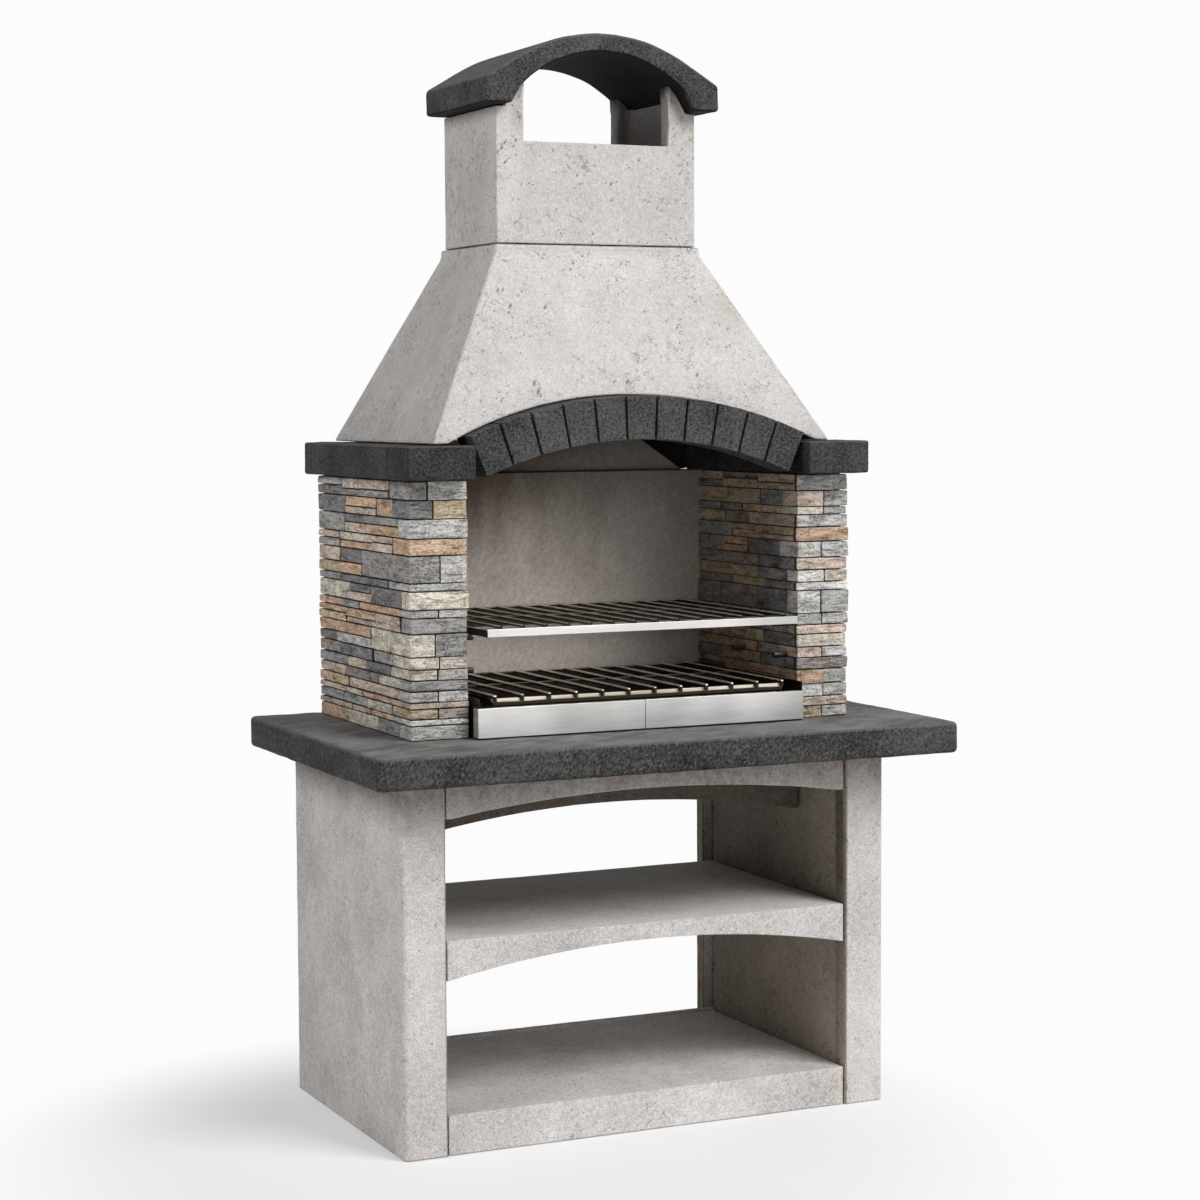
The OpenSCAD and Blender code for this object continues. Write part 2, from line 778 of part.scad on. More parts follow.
// Right half of the stainless front plate, hooked over the pan's front wall
module tray_plate() {
    color(stainless) union() {
        box([plate_seam / 2, pan_y0 - plate_sheet, top_z + plate_foot_gap],
            [plate_half, pan_y0, plate_top]);
        box([plate_seam / 2, pan_y0 - plate_sheet, plate_top - plate_sheet],
            [pan_w / 2 - pan_sheet - seat, pan_y0 + plate_lip_d, plate_top]);
        box([pan_w / 2, pan_y0 - plate_sheet, top_z + plate_foot_gap],
            [plate_half, pan_y0 + plate_return_d, plate_top]);
    }
}

// Fire grate: flat bars on four legs with hooked rods from front to rear
module fire_grate_grid() {
    rod_z = grate_top + seat / 3 + grate_rod_dia / 2;
    hook_y = grate_y0 - seat / 3 - grate_rod_dia / 2;
    bar_front = grate_y0 + grate_front_d;
    mid = (grate_y0 + grate_y1) / 2;
    leg_x = grate_half - grate_bar_t / 2;
    color(dark_steel) union() {
        for (x = [-grate_half, grate_half - grate_bar_t])
            box([x, bar_front, grate_bottom], [x + grate_bar_t, grate_y1, grate_top]);
        for (y = [mid, grate_y1 - grate_bar_t])
            box([-grate_half + eps, y, grate_bottom], [grate_half - eps, y + grate_bar_t, rod_z]);
        for (x = [-leg_x, leg_x], y = [bar_front + grate_leg_inset, grate_y1 - grate_leg_inset])
            translate([x, y, top_z + pan_sheet])
                cylinder(d = grate_leg_dia, h = grate_bottom + eps - top_z - pan_sheet);
        for (i = [0:grate_rods - 1])
            translate([(grate_w - grate_rod_dia) * (i / (grate_rods - 1) - 0.5), hook_y, rod_z]) {
                rotate([-90, 0, 0]) cylinder(d = grate_rod_dia, h = grate_y1 - hook_y);
                sphere(d = grate_rod_dia);
                translate([0, 0, -grate_hook]) cylinder(d = grate_rod_dia, h = grate_hook);
            }
    }
}

// Bright front bar of the fire grate
module fire_grate_front() {
    color(stainless) box([-grate_half, grate_y0, grate_bottom],
        [grate_half, grate_y0 + grate_front_d, grate_top]);
}

color(concrete) left() side_panel();  // left_side_panel
color(concrete) side_panel();  // right_side_panel
bottom_shelf();
middle_shelf();
color(concrete) lintel(lintel_front, lintel_h, lintel_rise);  // front_lintel
color(concrete) lintel(base_front + inner_lintel_y, inner_lintel_h, inner_lintel_rise);  // inner_lintel
worktop();
color(concrete) left() wall_core();  // left_wall_core
color(concrete) wall_core();  // right_wall_core
back_panel();
left() outer_stones(left_courses, left_shares, 100);  // left_outer_stones
left() drilled_inner_stones(left_courses, left_shares, 100);  // left_inner_stones
outer_stones(right_courses, right_shares, 5100);  // right_outer_stones
drilled_inner_stones(right_courses, right_shares, 5100);  // right_inner_stones
color(basalt) left() cornice_block();  // left_cornice_block
color(basalt) cornice_block();  // right_cornice_block
color(basalt) left() cornice_bar();  // left_cornice_bar
color(basalt) cornice_bar();  // right_cornice_bar
rear_beam();
for (i = [1:voussoirs])
    voussoir(i);
hood();
chimney();
roof_cap();
color(dark_steel) left() grill_pegs();  // left_grill_pegs
color(dark_steel) grill_pegs();  // right_grill_pegs
upper_grill_grid();
upper_grill_front();
tray_pan();
left() tray_plate();  // left_tray_plate
tray_plate();  // right_tray_plate
fire_grate_grid();
fire_grate_front();
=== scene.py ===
# %% [markdown]
# # Dressing a garden barbecue of concrete, stone and steel
#
# The construction model already holds every slab, wedge stone and rod at its real size and in
# its real place. This lesson gives each of them the surface of the real thing: cast concrete
# with pits and hairline cracks, split ledge stones, dark chiselled stone, sooty steel and
# brushed stainless sheet. Everything stays in the model's own frame, in metres.

# %% Opening the frame
import math
import random

import bmesh
import bpy
from mathutils import Matrix, Vector, noise


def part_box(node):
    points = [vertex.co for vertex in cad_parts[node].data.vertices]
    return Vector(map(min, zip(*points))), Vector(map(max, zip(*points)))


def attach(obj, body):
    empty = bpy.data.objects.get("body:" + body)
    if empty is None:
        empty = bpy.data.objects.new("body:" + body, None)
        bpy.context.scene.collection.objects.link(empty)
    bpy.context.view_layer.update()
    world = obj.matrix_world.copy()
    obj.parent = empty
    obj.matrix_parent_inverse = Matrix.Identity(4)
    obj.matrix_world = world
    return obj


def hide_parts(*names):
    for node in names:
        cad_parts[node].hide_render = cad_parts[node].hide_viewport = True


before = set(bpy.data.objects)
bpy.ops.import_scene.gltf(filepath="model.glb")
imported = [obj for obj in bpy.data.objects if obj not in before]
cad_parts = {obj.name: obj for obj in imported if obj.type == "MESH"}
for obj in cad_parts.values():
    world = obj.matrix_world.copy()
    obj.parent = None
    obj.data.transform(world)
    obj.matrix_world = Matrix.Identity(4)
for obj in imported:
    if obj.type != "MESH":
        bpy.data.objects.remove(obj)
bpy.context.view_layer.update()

# %% [markdown]
# ## The camera
#
# The photographer stood to the left of the barbecue, between five and six metres away,
# and looked a little down with a long lens, so upright edges stay almost parallel. The camera
# is placed by its eye point and by three angles, because those are what was measured.

# %% Placing the camera
EYE = Vector((-2.3905, -5.1158, 1.4922))
YAW = math.radians(25.06)
PITCH = math.radians(-4.297)
ROLL = math.radians(-0.273)
LENS_MM = 81.14


def add_camera():
    """A camera at the eye point, turned right by YAW, up by PITCH, and rolled."""
    forward = Vector((math.sin(YAW) * math.cos(PITCH), math.cos(YAW) * math.cos(PITCH),
                      math.sin(PITCH)))
    right = Vector((math.cos(YAW), -math.sin(YAW), 0))
    up = right.cross(forward)
    level = Matrix((right, up, -forward)).transposed()
    camera = bpy.data.objects.new("camera", bpy.data.cameras.new("camera"))
    camera.data.lens = LENS_MM
    turned = level @ Matrix.Rotation(ROLL, 3, "Z")
    camera.matrix_world = Matrix.Translation(EYE) @ turned.to_4x4()
    bpy.context.scene.collection.objects.link(camera)
    bpy.context.scene.camera = camera
    bpy.context.scene.view_settings.view_transform = "Standard"
    print("camera height", EYE.z, "lens", camera.data.lens)


add_camera()

# %% [markdown]
# ## Colours
#
# The tones of the barbecue were read off a screen, where each channel runs from 0 to 255.
# Blender reckons with the amount of light instead, in which a middle grey is only a fifth of
# white, so `rgb` turns one into the other.

# %% Screen tones as light
def rgb(red, green, blue):
    """A colour written as the screen's 0 to 255 values, turned into light values."""
    def light(value):
        share = value / 255
        return share / 12.92 if share <= 0.04045 else ((share + 0.055) / 1.055) ** 2.4
    return (light(red), light(green), light(blue))


def paint(colour):
    """The same colour with the fourth number that a colour socket wants."""
    return (*colour, 1)


def scaled(colour, factor):
    """The same colour, darker or lighter by a factor."""
    return tuple(factor * channel for channel in colour)


BLACK, WHITE = (0, 0, 0), (1, 1, 1)
print("a middle grey has", round(rgb(128, 128, 128)[0], 2), "of white's light")

# %% [markdown]
# ## Writing a finish as a formula
#
# A surface is a sum of layers: a base tone, clouds, grain, pits and cracks. Node trees say that
# with many boxes and wires, so two small classes let Python write it as a formula. `Value`
# wraps a socket and adds a Math node for each operator; `Finish` adds every other node.

# %% Values
class Value:
    """One output socket that takes part in Python arithmetic."""

    def __init__(self, finish, socket):
        self.finish = finish
        self.socket = socket

    def math(self, operation, first, second):
        return self.finish.node("ShaderNodeMath", {"operation": operation}, {0: first, 1: second})

    def __add__(self, other):
        return self.math("ADD", self, other)

    __radd__ = __add__

    def __sub__(self, other):
        return self.math("SUBTRACT", self, other)

    def __rsub__(self, other):
        return self.math("SUBTRACT", other, self)

    def __mul__(self, other):
        return self.math("MULTIPLY", self, other)

    __rmul__ = __mul__

    def __abs__(self):
        return self.math("ABSOLUTE", self, 0)


# %% [markdown]
# A `Finish` starts as an empty material. Its method `node` adds any node, and the short methods
# after it name what the layers need: a place on the piece, noises, cells, steps, mixtures and
# bumps.

# %% Finishes
class Finish:
    """A material, or a world, that is being written down."""

    def __init__(self, name, library=bpy.data.materials):
        self.owner = library.new(name)
        self.owner.use_nodes = True
        self.tree = self.owner.node_tree
        self.tree.nodes.clear()

    def node(self, kind, settings=None, values=None, output=0):
        """Adds a node, sets it up, fills or links its sockets, and gives back one output."""
        node = self.tree.nodes.new(kind)
        for key, setting in (settings or {}).items():
            if key == "stops":
                self.set_stops(node.color_ramp, setting)
            else:
                setattr(node, key, setting)
        for key, value in (values or {}).items():
            if isinstance(value, Value):
                self.tree.links.new(value.socket, node.inputs[key])
            else:
                node.inputs[key].default_value = value
        return Value(self, node.outputs[output]) if node.outputs else None

    @staticmethod
    def set_stops(ramp, stops):
        """A ramp's stops, as a list of (position, colour)."""
        while len(ramp.elements) < len(stops):
            ramp.elements.new(0.5)
        for element, (position, colour) in zip(ramp.elements, stops):
            element.position = position
            element.color = (*colour, 1)

    def place(self, stretch=(1, 1, 1), turn=(0, 0, 0)):
        """The point on the piece, in metres. Its patterns come out stretched along turned axes."""
        point = self.node("ShaderNodeTexCoord", output="Object")
        return self.node("ShaderNodeMapping", {"vector_type": "TEXTURE"},
                         {"Vector": point, "Scale": stretch, "Rotation": turn})

    def noise(self, where, scale, detail=3.0, rough=0.5, bend=0.0):
        """Soft random values from 0 to 1, with scale bumps to the metre."""
        return self.node("ShaderNodeTexNoise", None,
                         {"Vector": where, "Scale": scale, "Detail": detail, "Roughness": rough,
                          "Distortion": bend})

    def cells(self, where, scale, feature, output="Distance"):
        """Scattered cells, scale to the metre: the distance to a centre or to an edge."""
        return self.node("ShaderNodeTexVoronoi", {"feature": feature},
                         {"Vector": where, "Scale": scale}, output)

    def step(self, value, low, high):
        """0 below low, 1 above high, and a smooth rise between."""
        return self.node("ShaderNodeMapRange", {"interpolation_type": "SMOOTHSTEP"},
                         {"Value": value, "From Min": low, "From Max": high})

    def spread(self, value):
        """A noise, whose values crowd around a half, spread out over 0 to 1."""
        return self.step(value, 0.3, 0.7)

    def mix(self, first, second, share):
        """Two colours mixed by a share. A plain tone is given as its three numbers."""
        colours = [c if isinstance(c, Value) else paint(c) for c in (first, second)]
        return self.node("ShaderNodeMix", {"data_type": "RGBA"},
                         {0: share, 6: colours[0], 7: colours[1]}, 2)

    def ramp(self, value, stops):
        """A colour picked by a value from a row of stops."""
        return self.node("ShaderNodeValToRGB", {"stops": stops}, {0: value})

    def part(self, vector, axis):
        """One number of a vector: its X, its Y or its Z."""
        return self.node("ShaderNodeSeparateXYZ", None, {0: vector}, axis)

    def upward(self):
        """How far the surface looks up: 1 on a level top, 0 on an upright side."""
        return self.part(self.node("ShaderNodeNewGeometry", output="Normal"), "Z")

    def attribute(self, name, output):
        """What the mesh says at this point."""
        return self.node("ShaderNodeAttribute", {"attribute_name": name}, output=output)

    def shift(self, where, amount):
        """The point moved by another vector."""
        return self.node("ShaderNodeVectorMath", {"operation": "ADD"}, {0: where, 1: amount})

    def bump(self, height, depth, strength=1.0):
        """A normal from a height that is 0 to 1, over a real depth in metres."""
        return self.node("ShaderNodeBump", None,
                         {"Height": height, "Distance": depth, "Strength": strength})

    def mixed(self, share, first, second):
        """Two shaders mixed by a share."""
        return self.node("ShaderNodeMixShader", None, {0: share, 1: first, 2: second})

    def seen(self):
        """1 for what the camera, a mirror or glass sees, 0 for light that spreads."""
        rays = [self.node("ShaderNodeLightPath", output=kind + " Ray")
                for kind in ("Is Camera", "Is Glossy", "Is Transmission")]
        return rays[0] + rays[1] + rays[2]

    def close(self, colour, roughness, normal=None, **constants):
        """Ends the finish with one Principled shader."""
        values = {"Base Color": colour, "Roughness": roughness}
        if normal is not None:
            values["Normal"] = normal
        values.update({key.replace("_", " "): value for key, value in constants.items()})
        return self.end("Material", self.node("ShaderNodeBsdfPrincipled", None, values))

    def end(self, kind, shader):
        """Links the last shader to the output, and gives back what was written."""
        self.node("ShaderNodeOutput" + kind, None, {"Surface": shader})
        return self.owner


# %% [markdown]
# ## The floor and the light
#
# A pale studio floor runs out of sight into a white room. Near the barbecue it is a real
# surface that takes the shadow; further out it is only seen as white, which hides the horizon.
# The lamps are large, so the shadows are soft: a key light from the front and right, high up,
# and two weaker ones that keep the left side and the inside of the shelves readable. A small
# lamp with a narrow beam opens up the fire chamber.

# %% Floor
FLOOR_HALF = 30.0
SHADOW_MIDDLE = (-0.34, -0.30, 0)
SHADOW_NEAR = 0.55
SHADOW_FAR = 1.2
SHADOW_GLOW = 0.35
FLOOR_TONES = (0.84, 0.84, 0.84), (0.88, 0.88, 0.88)
FLOOR_PATCHES = 1.5
PAPER = 0.973


def floor_finish():
    """A pale floor near the barbecue, and plain white beyond its shadow."""
    finish = Finish("studio_floor")
    point = finish.node("ShaderNodeTexCoord", output="Object")
    away = finish.node("ShaderNodeVectorMath", {"operation": "DISTANCE"},
                       {0: point, 1: SHADOW_MIDDLE}, "Value")
    colour = finish.mix(*FLOOR_TONES, finish.noise(point, FLOOR_PATCHES, 2))
    surface = finish.node("ShaderNodeBsdfDiffuse", None, {"Color": colour})
    glow = finish.node("ShaderNodeEmission", None, {"Color": paint(scaled(WHITE, PAPER))})
    white = SHADOW_GLOW + (1 - SHADOW_GLOW) * finish.step(away, SHADOW_NEAR, SHADOW_FAR)
    return finish.end("Material", finish.mixed(white * finish.seen(), surface, glow))


def add_floor():
    shape = bmesh.new()
    bmesh.ops.create_grid(shape, x_segments=1, y_segments=1, size=FLOOR_HALF)
    mesh = bpy.data.meshes.new("floor")
    shape.to_mesh(mesh)
    shape.free()
    mesh.materials.append(floor_finish())
    floor = bpy.data.objects.new("floor", mesh)
    bpy.context.scene.collection.objects.link(floor)
    print("floor", 2 * FLOOR_HALF, "m wide, its shadow shown as far as", SHADOW_FAR, "m")


add_floor()

# %% Room
ROOM_LIGHT = 0.09


def add_room():
    """A world that is seen as white but lights the barbecue only a little."""
    finish = Finish("room", bpy.data.worlds)
    dim, white = (finish.node("ShaderNodeBackground", None,
                              {"Color": paint(WHITE), "Strength": strength})
                  for strength in (ROOM_LIGHT, PAPER))
    bpy.context.scene.world = finish.end("World", finish.mixed(finish.seen(), dim, white))
    print("room light", ROOM_LIGHT, "but seen as", PAPER)


add_room()

# %% Lamps
AIM = Vector((0, 0, 1.1))


def add_lamp(name, turn, height, distance, size, watts, spread=180):
    """A square soft lamp that looks at the barbecue, turn degrees to the right of its front."""
    angle, rise = math.radians(turn), math.radians(height)
    away = Vector((math.sin(angle) * math.cos(rise), -math.cos(angle) * math.cos(rise),
                   math.sin(rise)))
    lamp = bpy.data.lights.new(name, "AREA")
    lamp.shape = "SQUARE"
    lamp.size = size
    lamp.energy = watts
    lamp.spread = math.radians(spread)
    lamp_object = bpy.data.objects.new(name, lamp)
    lamp_object.location = AIM + away * distance
    lamp_object.rotation_euler = (-away).to_track_quat("-Z", "Y").to_euler()
    bpy.context.scene.collection.objects.link(lamp_object)


add_lamp("key", turn=30, height=42, distance=10, size=5.0, watts=860)
add_lamp("front_fill", turn=16, height=16, distance=12, size=5.0, watts=150)
add_lamp("left_fill", turn=-84, height=33, distance=10, size=5.0, watts=380)
add_lamp("chamber_spot", turn=-22, height=5, distance=4, size=0.4, watts=0.2, spread=10)

# %% [markdown]
# ## Cast concrete
#
# The base, the hood and the chimney are cast in a light, warm grey concrete. Close up it is a
# fine sandy grain with scattered dark pits, a few short hairline cracks, and cloudy patches
# where water dried unevenly. Under the worktop a painted shade darkens it, and a thin painted
# shade line marks the seam under the chimney and the foot of the base. Each layer is a line of
# the formula, at its real size: a noise of 260 bumps to the metre is sand of 4 mm, and one of 3
# is a cloud of 30 cm. After a pattern's size come its detail and its roughness, and the last
# two numbers of a step say where the layer begins and where it is full.

# %% Hairline cracks
HAIRLINES, CRACKED_SPOTS = 34, 8
SWIRLS, VEINS, BREAKS = 9, 5, 7


def hairlines(finish, where, few, cracks):
    """Short wriggling lines, and long veins that break off: one share of dark for each."""
    bent = finish.noise(where, HAIRLINES, 3, 0.55, 1.2)
    wriggle = (1 - finish.step(abs(bent - 0.5), 0.004, 0.030)) * few
    wriggle = wriggle * finish.step(finish.noise(where, CRACKED_SPOTS, 3, 0.6), 0.46, 0.58)
    swirl = finish.node("ShaderNodeTexNoise", None,
                        {"Vector": where, "Scale": SWIRLS, "Detail": 4}, "Color")
    vein = finish.cells(finish.shift(where, swirl), VEINS, "DISTANCE_TO_EDGE")
    broken = finish.step(finish.noise(where, BREAKS, 3, 0.6), 0.54, 0.62)
    return wriggle * cracks, (1 - finish.step(vein, 0.003, 0.013)) * broken * cracks


# %% [markdown]
# The pits are of two kinds: round holes, where bubbles of air lay against the mould, and short
# slanting nicks that come in clusters. The tones are mixed first, then come the brown and the
# painted shade, and the marks go on last, because they are holes in all of it.

# %% Cast concrete
SLANT = (math.radians(-32), math.radians(38), 0)
ABOVE_ALL = 10
CLOUDS, STAINS, MOTTLE, SAND = 3.2, 11, 95, 260
BROWN_SPOTS, SHADE_EDGE_WOBBLE = 6, 14
NICKS, CLUSTERS, GAPS = 80, 13, 55
HOLES, HOLED_SPOTS = 95, 33
BROWN, UNDER_SHADE, SEAM_SHADE = rgb(176, 160, 146), rgb(104, 91, 78), rgb(40, 36, 32)
SEAM_WIDTH = (0.001, 0.004)
CAST_DEPTH = 0.0012
MATT = 0.12


def concrete(name, tone, shade, cracks=0.6, pits=0.7, shade_rise=(ABOVE_ALL, ABOVE_ALL + 1),
             seam=ABOVE_ALL):
    """Cast concrete of two tones. Painted shade darkens it from a height up, and along a seam."""
    finish = Finish(name)
    where = finish.place()
    clouds = finish.spread(finish.noise(where, CLOUDS, 5, 0.6, 0.6))
    stains = finish.spread(finish.noise(finish.place((1, 1, 2.2)), STAINS, 4, 0.65))
    mottle = finish.spread(finish.noise(where, MOTTLE, 3, 0.6))
    grain = finish.spread(finish.noise(where, SAND, 2, 0.6))
    share = 0.22 * clouds + 0.16 * stains + 0.20 * mottle + 0.42 * grain
    colour = finish.mix(shade, tone, share)

    browned = finish.step(finish.noise(where, BROWN_SPOTS, 4, 0.6), 0.5, 0.8)
    colour = finish.mix(colour, BROWN, browned * 0.4)
    height = finish.part(where, "Z")
    # Painted shade: a thin dark line at the seam height, as a contact shadow.
    seam_shade = 1 - finish.step(abs(height - seam), *SEAM_WIDTH)
    # Painted shade: darker from a height upwards, such as under the worktop.
    line = finish.noise(where, SHADE_EDGE_WOBBLE, 4, 0.7)
    painted_shade = finish.step(height + 0.10 * (line - 0.5) + 0.02 * (mottle - 0.5), *shade_rise)
    painted_shade = painted_shade * (0.65 + 0.35 * mottle)
    colour = finish.mix(colour, UNDER_SHADE, painted_shade * 0.75)

    cluster = finish.step(finish.noise(where, CLUSTERS, 3, 0.6), 0.46, 0.60)
    few = finish.step(finish.noise(where, GAPS, 2, 0.5), 0.46, 0.56)
    nick = finish.cells(finish.place((1, 1, 3.4), SLANT), NICKS, "F1")
    nick = (1 - finish.step(nick, 0.10, 0.30)) * cluster * few
    pit = 1 - finish.step(finish.cells(where, HOLES, "F1"), 0.10, 0.26)
    pit = pit * finish.step(finish.noise(where, HOLED_SPOTS, 2), 0.53, 0.62)
    wriggle, crack = hairlines(finish, where, few, cracks)

    dark = scaled(shade, 0.22)
    for mark in (nick * pits, pit * pits, wriggle * 0.8, crack):
        colour = finish.mix(colour, dark, mark)
    colour = finish.mix(colour, SEAM_SHADE, seam_shade * 0.5)
    relief = 0.4 * grain + 0.6 * mottle + 0.3 * stains - pit - wriggle - crack - nick
    return finish.close(colour, 0.9 - 0.1 * grain, finish.bump(relief, CAST_DEPTH, 0.6),
                        Specular_IOR_Level=MATT)


# %% [markdown]
# The hood and the chimney are the plain cast. The base is a little lighter, its painted shade
# starts under the worktop, and the sheltered faces inside it get finishes of their own: painted
# shade on the panels' inner sides and the inner lintel, painted light on the middle shelf's top.

# %% The concrete finishes
LIGHT_CAST, DARK_CAST = rgb(225, 222, 220), rgb(173, 168, 164)
LIGHT_BASE, DARK_BASE = rgb(243, 239, 237), rgb(164, 158, 155)
under_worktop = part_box("worktop")[0].z
chimney_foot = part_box("chimney")[0].z
CONCRETE = concrete("cast_concrete", LIGHT_CAST, DARK_CAST, seam=chimney_foot)
BASE_CONCRETE = concrete("base_concrete", LIGHT_BASE, DARK_BASE, cracks=0.25, pits=0.45,
                         shade_rise=(under_worktop - 0.12, under_worktop), seam=0)
# Painted shade and light: the panels' inner sides and the inner lintel get darker finishes, the
# middle shelf's top a lighter one.
SHADED_INNER_CONCRETE = concrete("inner_shaded_concrete", rgb(190, 180, 168), rgb(136, 126, 114),
                          shade_rise=(under_worktop - 0.07, under_worktop + 0.04))
LIT_SHELF_CONCRETE = concrete("lit_shelf_concrete", rgb(250, 246, 242), rgb(204, 197, 190), cracks=0.3,
                          pits=0.5)
SHADED_CONCRETE = concrete("shaded_concrete", rgb(116, 107, 98), rgb(80, 72, 64))
print("a concrete finish has", len(CONCRETE.node_tree.nodes), "nodes")

# %% [markdown]
# ## Dark stone
#
# The worktop, the cornice, the wedge stones and the roof cap are cast in dark stone. The
# worktop's sides are chiselled in fine slanting strokes, its top is worn to a softer grey, and
# the others are grainy all over, with light specks. Upper edges are painted lighter, as wear and
# as a painted highlight: there the normal points half upwards, and the roof cap's round back gets
# a little of it as well.

# %% Dark stone
CROSS_SLANT = (math.radians(40), math.radians(-50), 0)
SPECKS, CRYSTALS, COARSE, PATCHES = 380, 330, 150, 7
STROKES, CROSS_STROKES, RUBS = 240, 200, 30
STONE_DEPTH = 0.0016
DULL = 0.05


def dark_stone(name, light, dark, strokes=0.0, worn_top=None):
    """Speckled dark stone, with chisel strokes if asked for, and a worn top face."""
    finish = Finish(name)
    where = finish.place()
    grain = finish.noise(where, SPECKS, 2, 0.6)
    coarse = finish.noise(where, COARSE, 4, 0.7)
    patch = finish.noise(where, PATCHES, 4, 0.6, 0.4)
    fleck = finish.step(finish.noise(where, CRYSTALS, 2, 0.5), 0.58, 0.70)
    stroke = finish.noise(finish.place((1, 1, 14), SLANT), STROKES, 2, 0.5, 0.2)
    cross = finish.noise(finish.place((1, 1, 11), CROSS_SLANT), CROSS_STROKES, 2, 0.5, 0.2)
    share = 0.42 + (grain - 0.5) * (1.4 - 0.4 * strokes) + (patch - 0.5) * 0.9
    share = share + (coarse - 0.5) * (1.3 - 0.7 * strokes)
    share = share + (stroke - 0.5) * 0.8 * strokes + (cross - 0.5) * 0.4 * strokes
    share = share + finish.step(stroke, 0.60, 0.74) * 0.22 * strokes
    colour = finish.mix(dark, light, finish.step(share, 0.0, 1.0))
    colour = finish.mix(colour, scaled(light, 2.0), fleck * (0.35 - 0.15 * strokes))
    upward = finish.upward()
    # Painted highlight and wear: faces that look half upwards are painted lighter.
    edge = finish.step(upward, 0.15, 0.5) * (1 - finish.step(upward, 0.75, 0.98))
    colour = finish.mix(colour, scaled(light, 1.6), edge * (0.1 + 0.5 * grain))
    if worn_top is not None:
        rubbed = finish.noise(finish.place((3, 1, 1), (0, 0, 0.5)), RUBS, 4, 0.65, 0.5)
        worn = finish.step(patch + (rubbed - 0.5) * 1.1 + (grain - 0.5) * 0.6, 0.3, 0.75)
        worn = finish.mix(worn_top, scaled(worn_top, 0.5), worn)
        colour = finish.mix(colour, worn, finish.step(upward, 0.6, 0.95))
    relief = 0.6 * grain + (0.9 - 0.4 * strokes) * coarse + 0.5 * patch
    relief = relief + 0.6 * strokes * (stroke + cross)
    return finish.close(colour, 0.74 - 0.12 * coarse, finish.bump(relief, STONE_DEPTH, 0.8),
                        Specular_IOR_Level=DULL)


GRANITE = dark_stone("grainy_dark_stone", rgb(97, 97, 97), rgb(29, 29, 30))
SLATE_STONE = dark_stone("plain_dark_stone", rgb(88, 88, 88), rgb(26, 26, 26))
CHISELLED = dark_stone("chiselled_dark_stone", rgb(96, 95, 94), rgb(30, 30, 30), 1.5,
                       rgb(127, 126, 125))
print("stone finishes:", [stone.name for stone in (GRANITE, SLATE_STONE, CHISELLED)])

# %% [markdown]
# ## Refractory concrete and soot
#
# The fire chamber's back panel is a smoother, browner concrete that darkens towards the top,
# with soot where the smoke leaves and painted shade under the arch, and towards the right, where
# the darkening is painted shade. The hood's inside and the flue are black with soot.

# %% Refractory concrete
FINE_SAND, SMOKE_AND_SHADE_CLOUDS, STREAKS, SCRATCHES, FINE_HOLES = 240, 4, 16, 130, 90
SHADE_RIGHT_FROM, SHADE_RIGHT_TO = -0.24, 0.36
SMOOTH_DEPTH = 0.0008


def firebox(name, low_tone, high_tone, low_z, high_z, shade):
    """Smooth refractory concrete: browner up high, soot and painted shade; painted shade to the
    right.
    """
    finish = Finish(name)
    where = finish.place()
    grain = finish.noise(where, FINE_SAND, 3, 0.7)
    clouds = finish.noise(where, SMOKE_AND_SHADE_CLOUDS, 5, 0.55, 0.5)
    streak = finish.noise(finish.place((1, 1, 4)), STREAKS, 4, 0.6)
    # Soot and painted shade: browner towards the top.
    height = finish.part(where, "Z") + (clouds - 0.5) * 0.25 + (streak - 0.5) * 0.12
    colour = finish.mix(low_tone, high_tone, finish.step(height, low_z, high_z))
    # Painted shade: darker towards the right.
    across = finish.part(where, "X") + (clouds - 0.5) * 0.3
    painted_shade_right = finish.step(across, SHADE_RIGHT_FROM, SHADE_RIGHT_TO)
    dark = scaled(low_tone, 0.3)
    colour = finish.mix(colour, dark, painted_shade_right * shade)
    scratch = finish.noise(finish.place((1, 1, 5), SLANT), SCRATCHES, 3, 0.6)
    rough = finish.step(grain * 0.5 + scratch * 0.5, 0.35, 0.65)
    colour = finish.mix(finish.mix(colour, BLACK, 0.42), colour, 0.35 + 0.65 * rough)
    pit = 1 - finish.step(finish.cells(where, FINE_HOLES, "F1"), 0.08, 0.2)
    pit = pit * finish.step(streak, 0.5, 0.65)
    colour = finish.mix(colour, dark, pit * 0.6)
    normal = finish.bump(grain * 0.6 + clouds - pit, SMOOTH_DEPTH, 0.5)
    return finish.close(colour, 0.86 - 0.1 * clouds, normal, Specular_IOR_Level=MATT)


top_of_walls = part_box("back_panel")[1].z
REFRACTORY = firebox("refractory_concrete", rgb(238, 227, 218), rgb(99, 86, 72),
                     top_of_walls - 0.26, top_of_walls + 0.03, 0.9)
print(REFRACTORY.name, "darkens towards", round(top_of_walls, 3), "m")

# %% Soot
SOOT_CLOUDS, SOOT_DUST = 7, 150
SOOT_TONES = [(0.3, (0.006, 0.005, 0.005)), (0.7, (0.026, 0.021, 0.017))]
SOOT_DEPTH = 0.001
SOOT_SHEEN = 0.15


def soot(name):
    """Matt black with brown, dusty clouds."""
    finish = Finish(name)
    where = finish.place()
    clouds = finish.noise(where, SOOT_CLOUDS, 5, 0.6)
    dust = finish.noise(where, SOOT_DUST, 3, 0.7)
    colour = finish.ramp(clouds * 0.7 + dust * 0.3, SOOT_TONES)
    return finish.close(colour, 0.95 - 0.08 * dust, finish.bump(dust + clouds, SOOT_DEPTH, 0.5),
                        Specular_IOR_Level=SOOT_SHEEN)


SOOT = soot("soot")
print("soot from", SOOT_TONES[0][1], "to", SOOT_TONES[1][1])

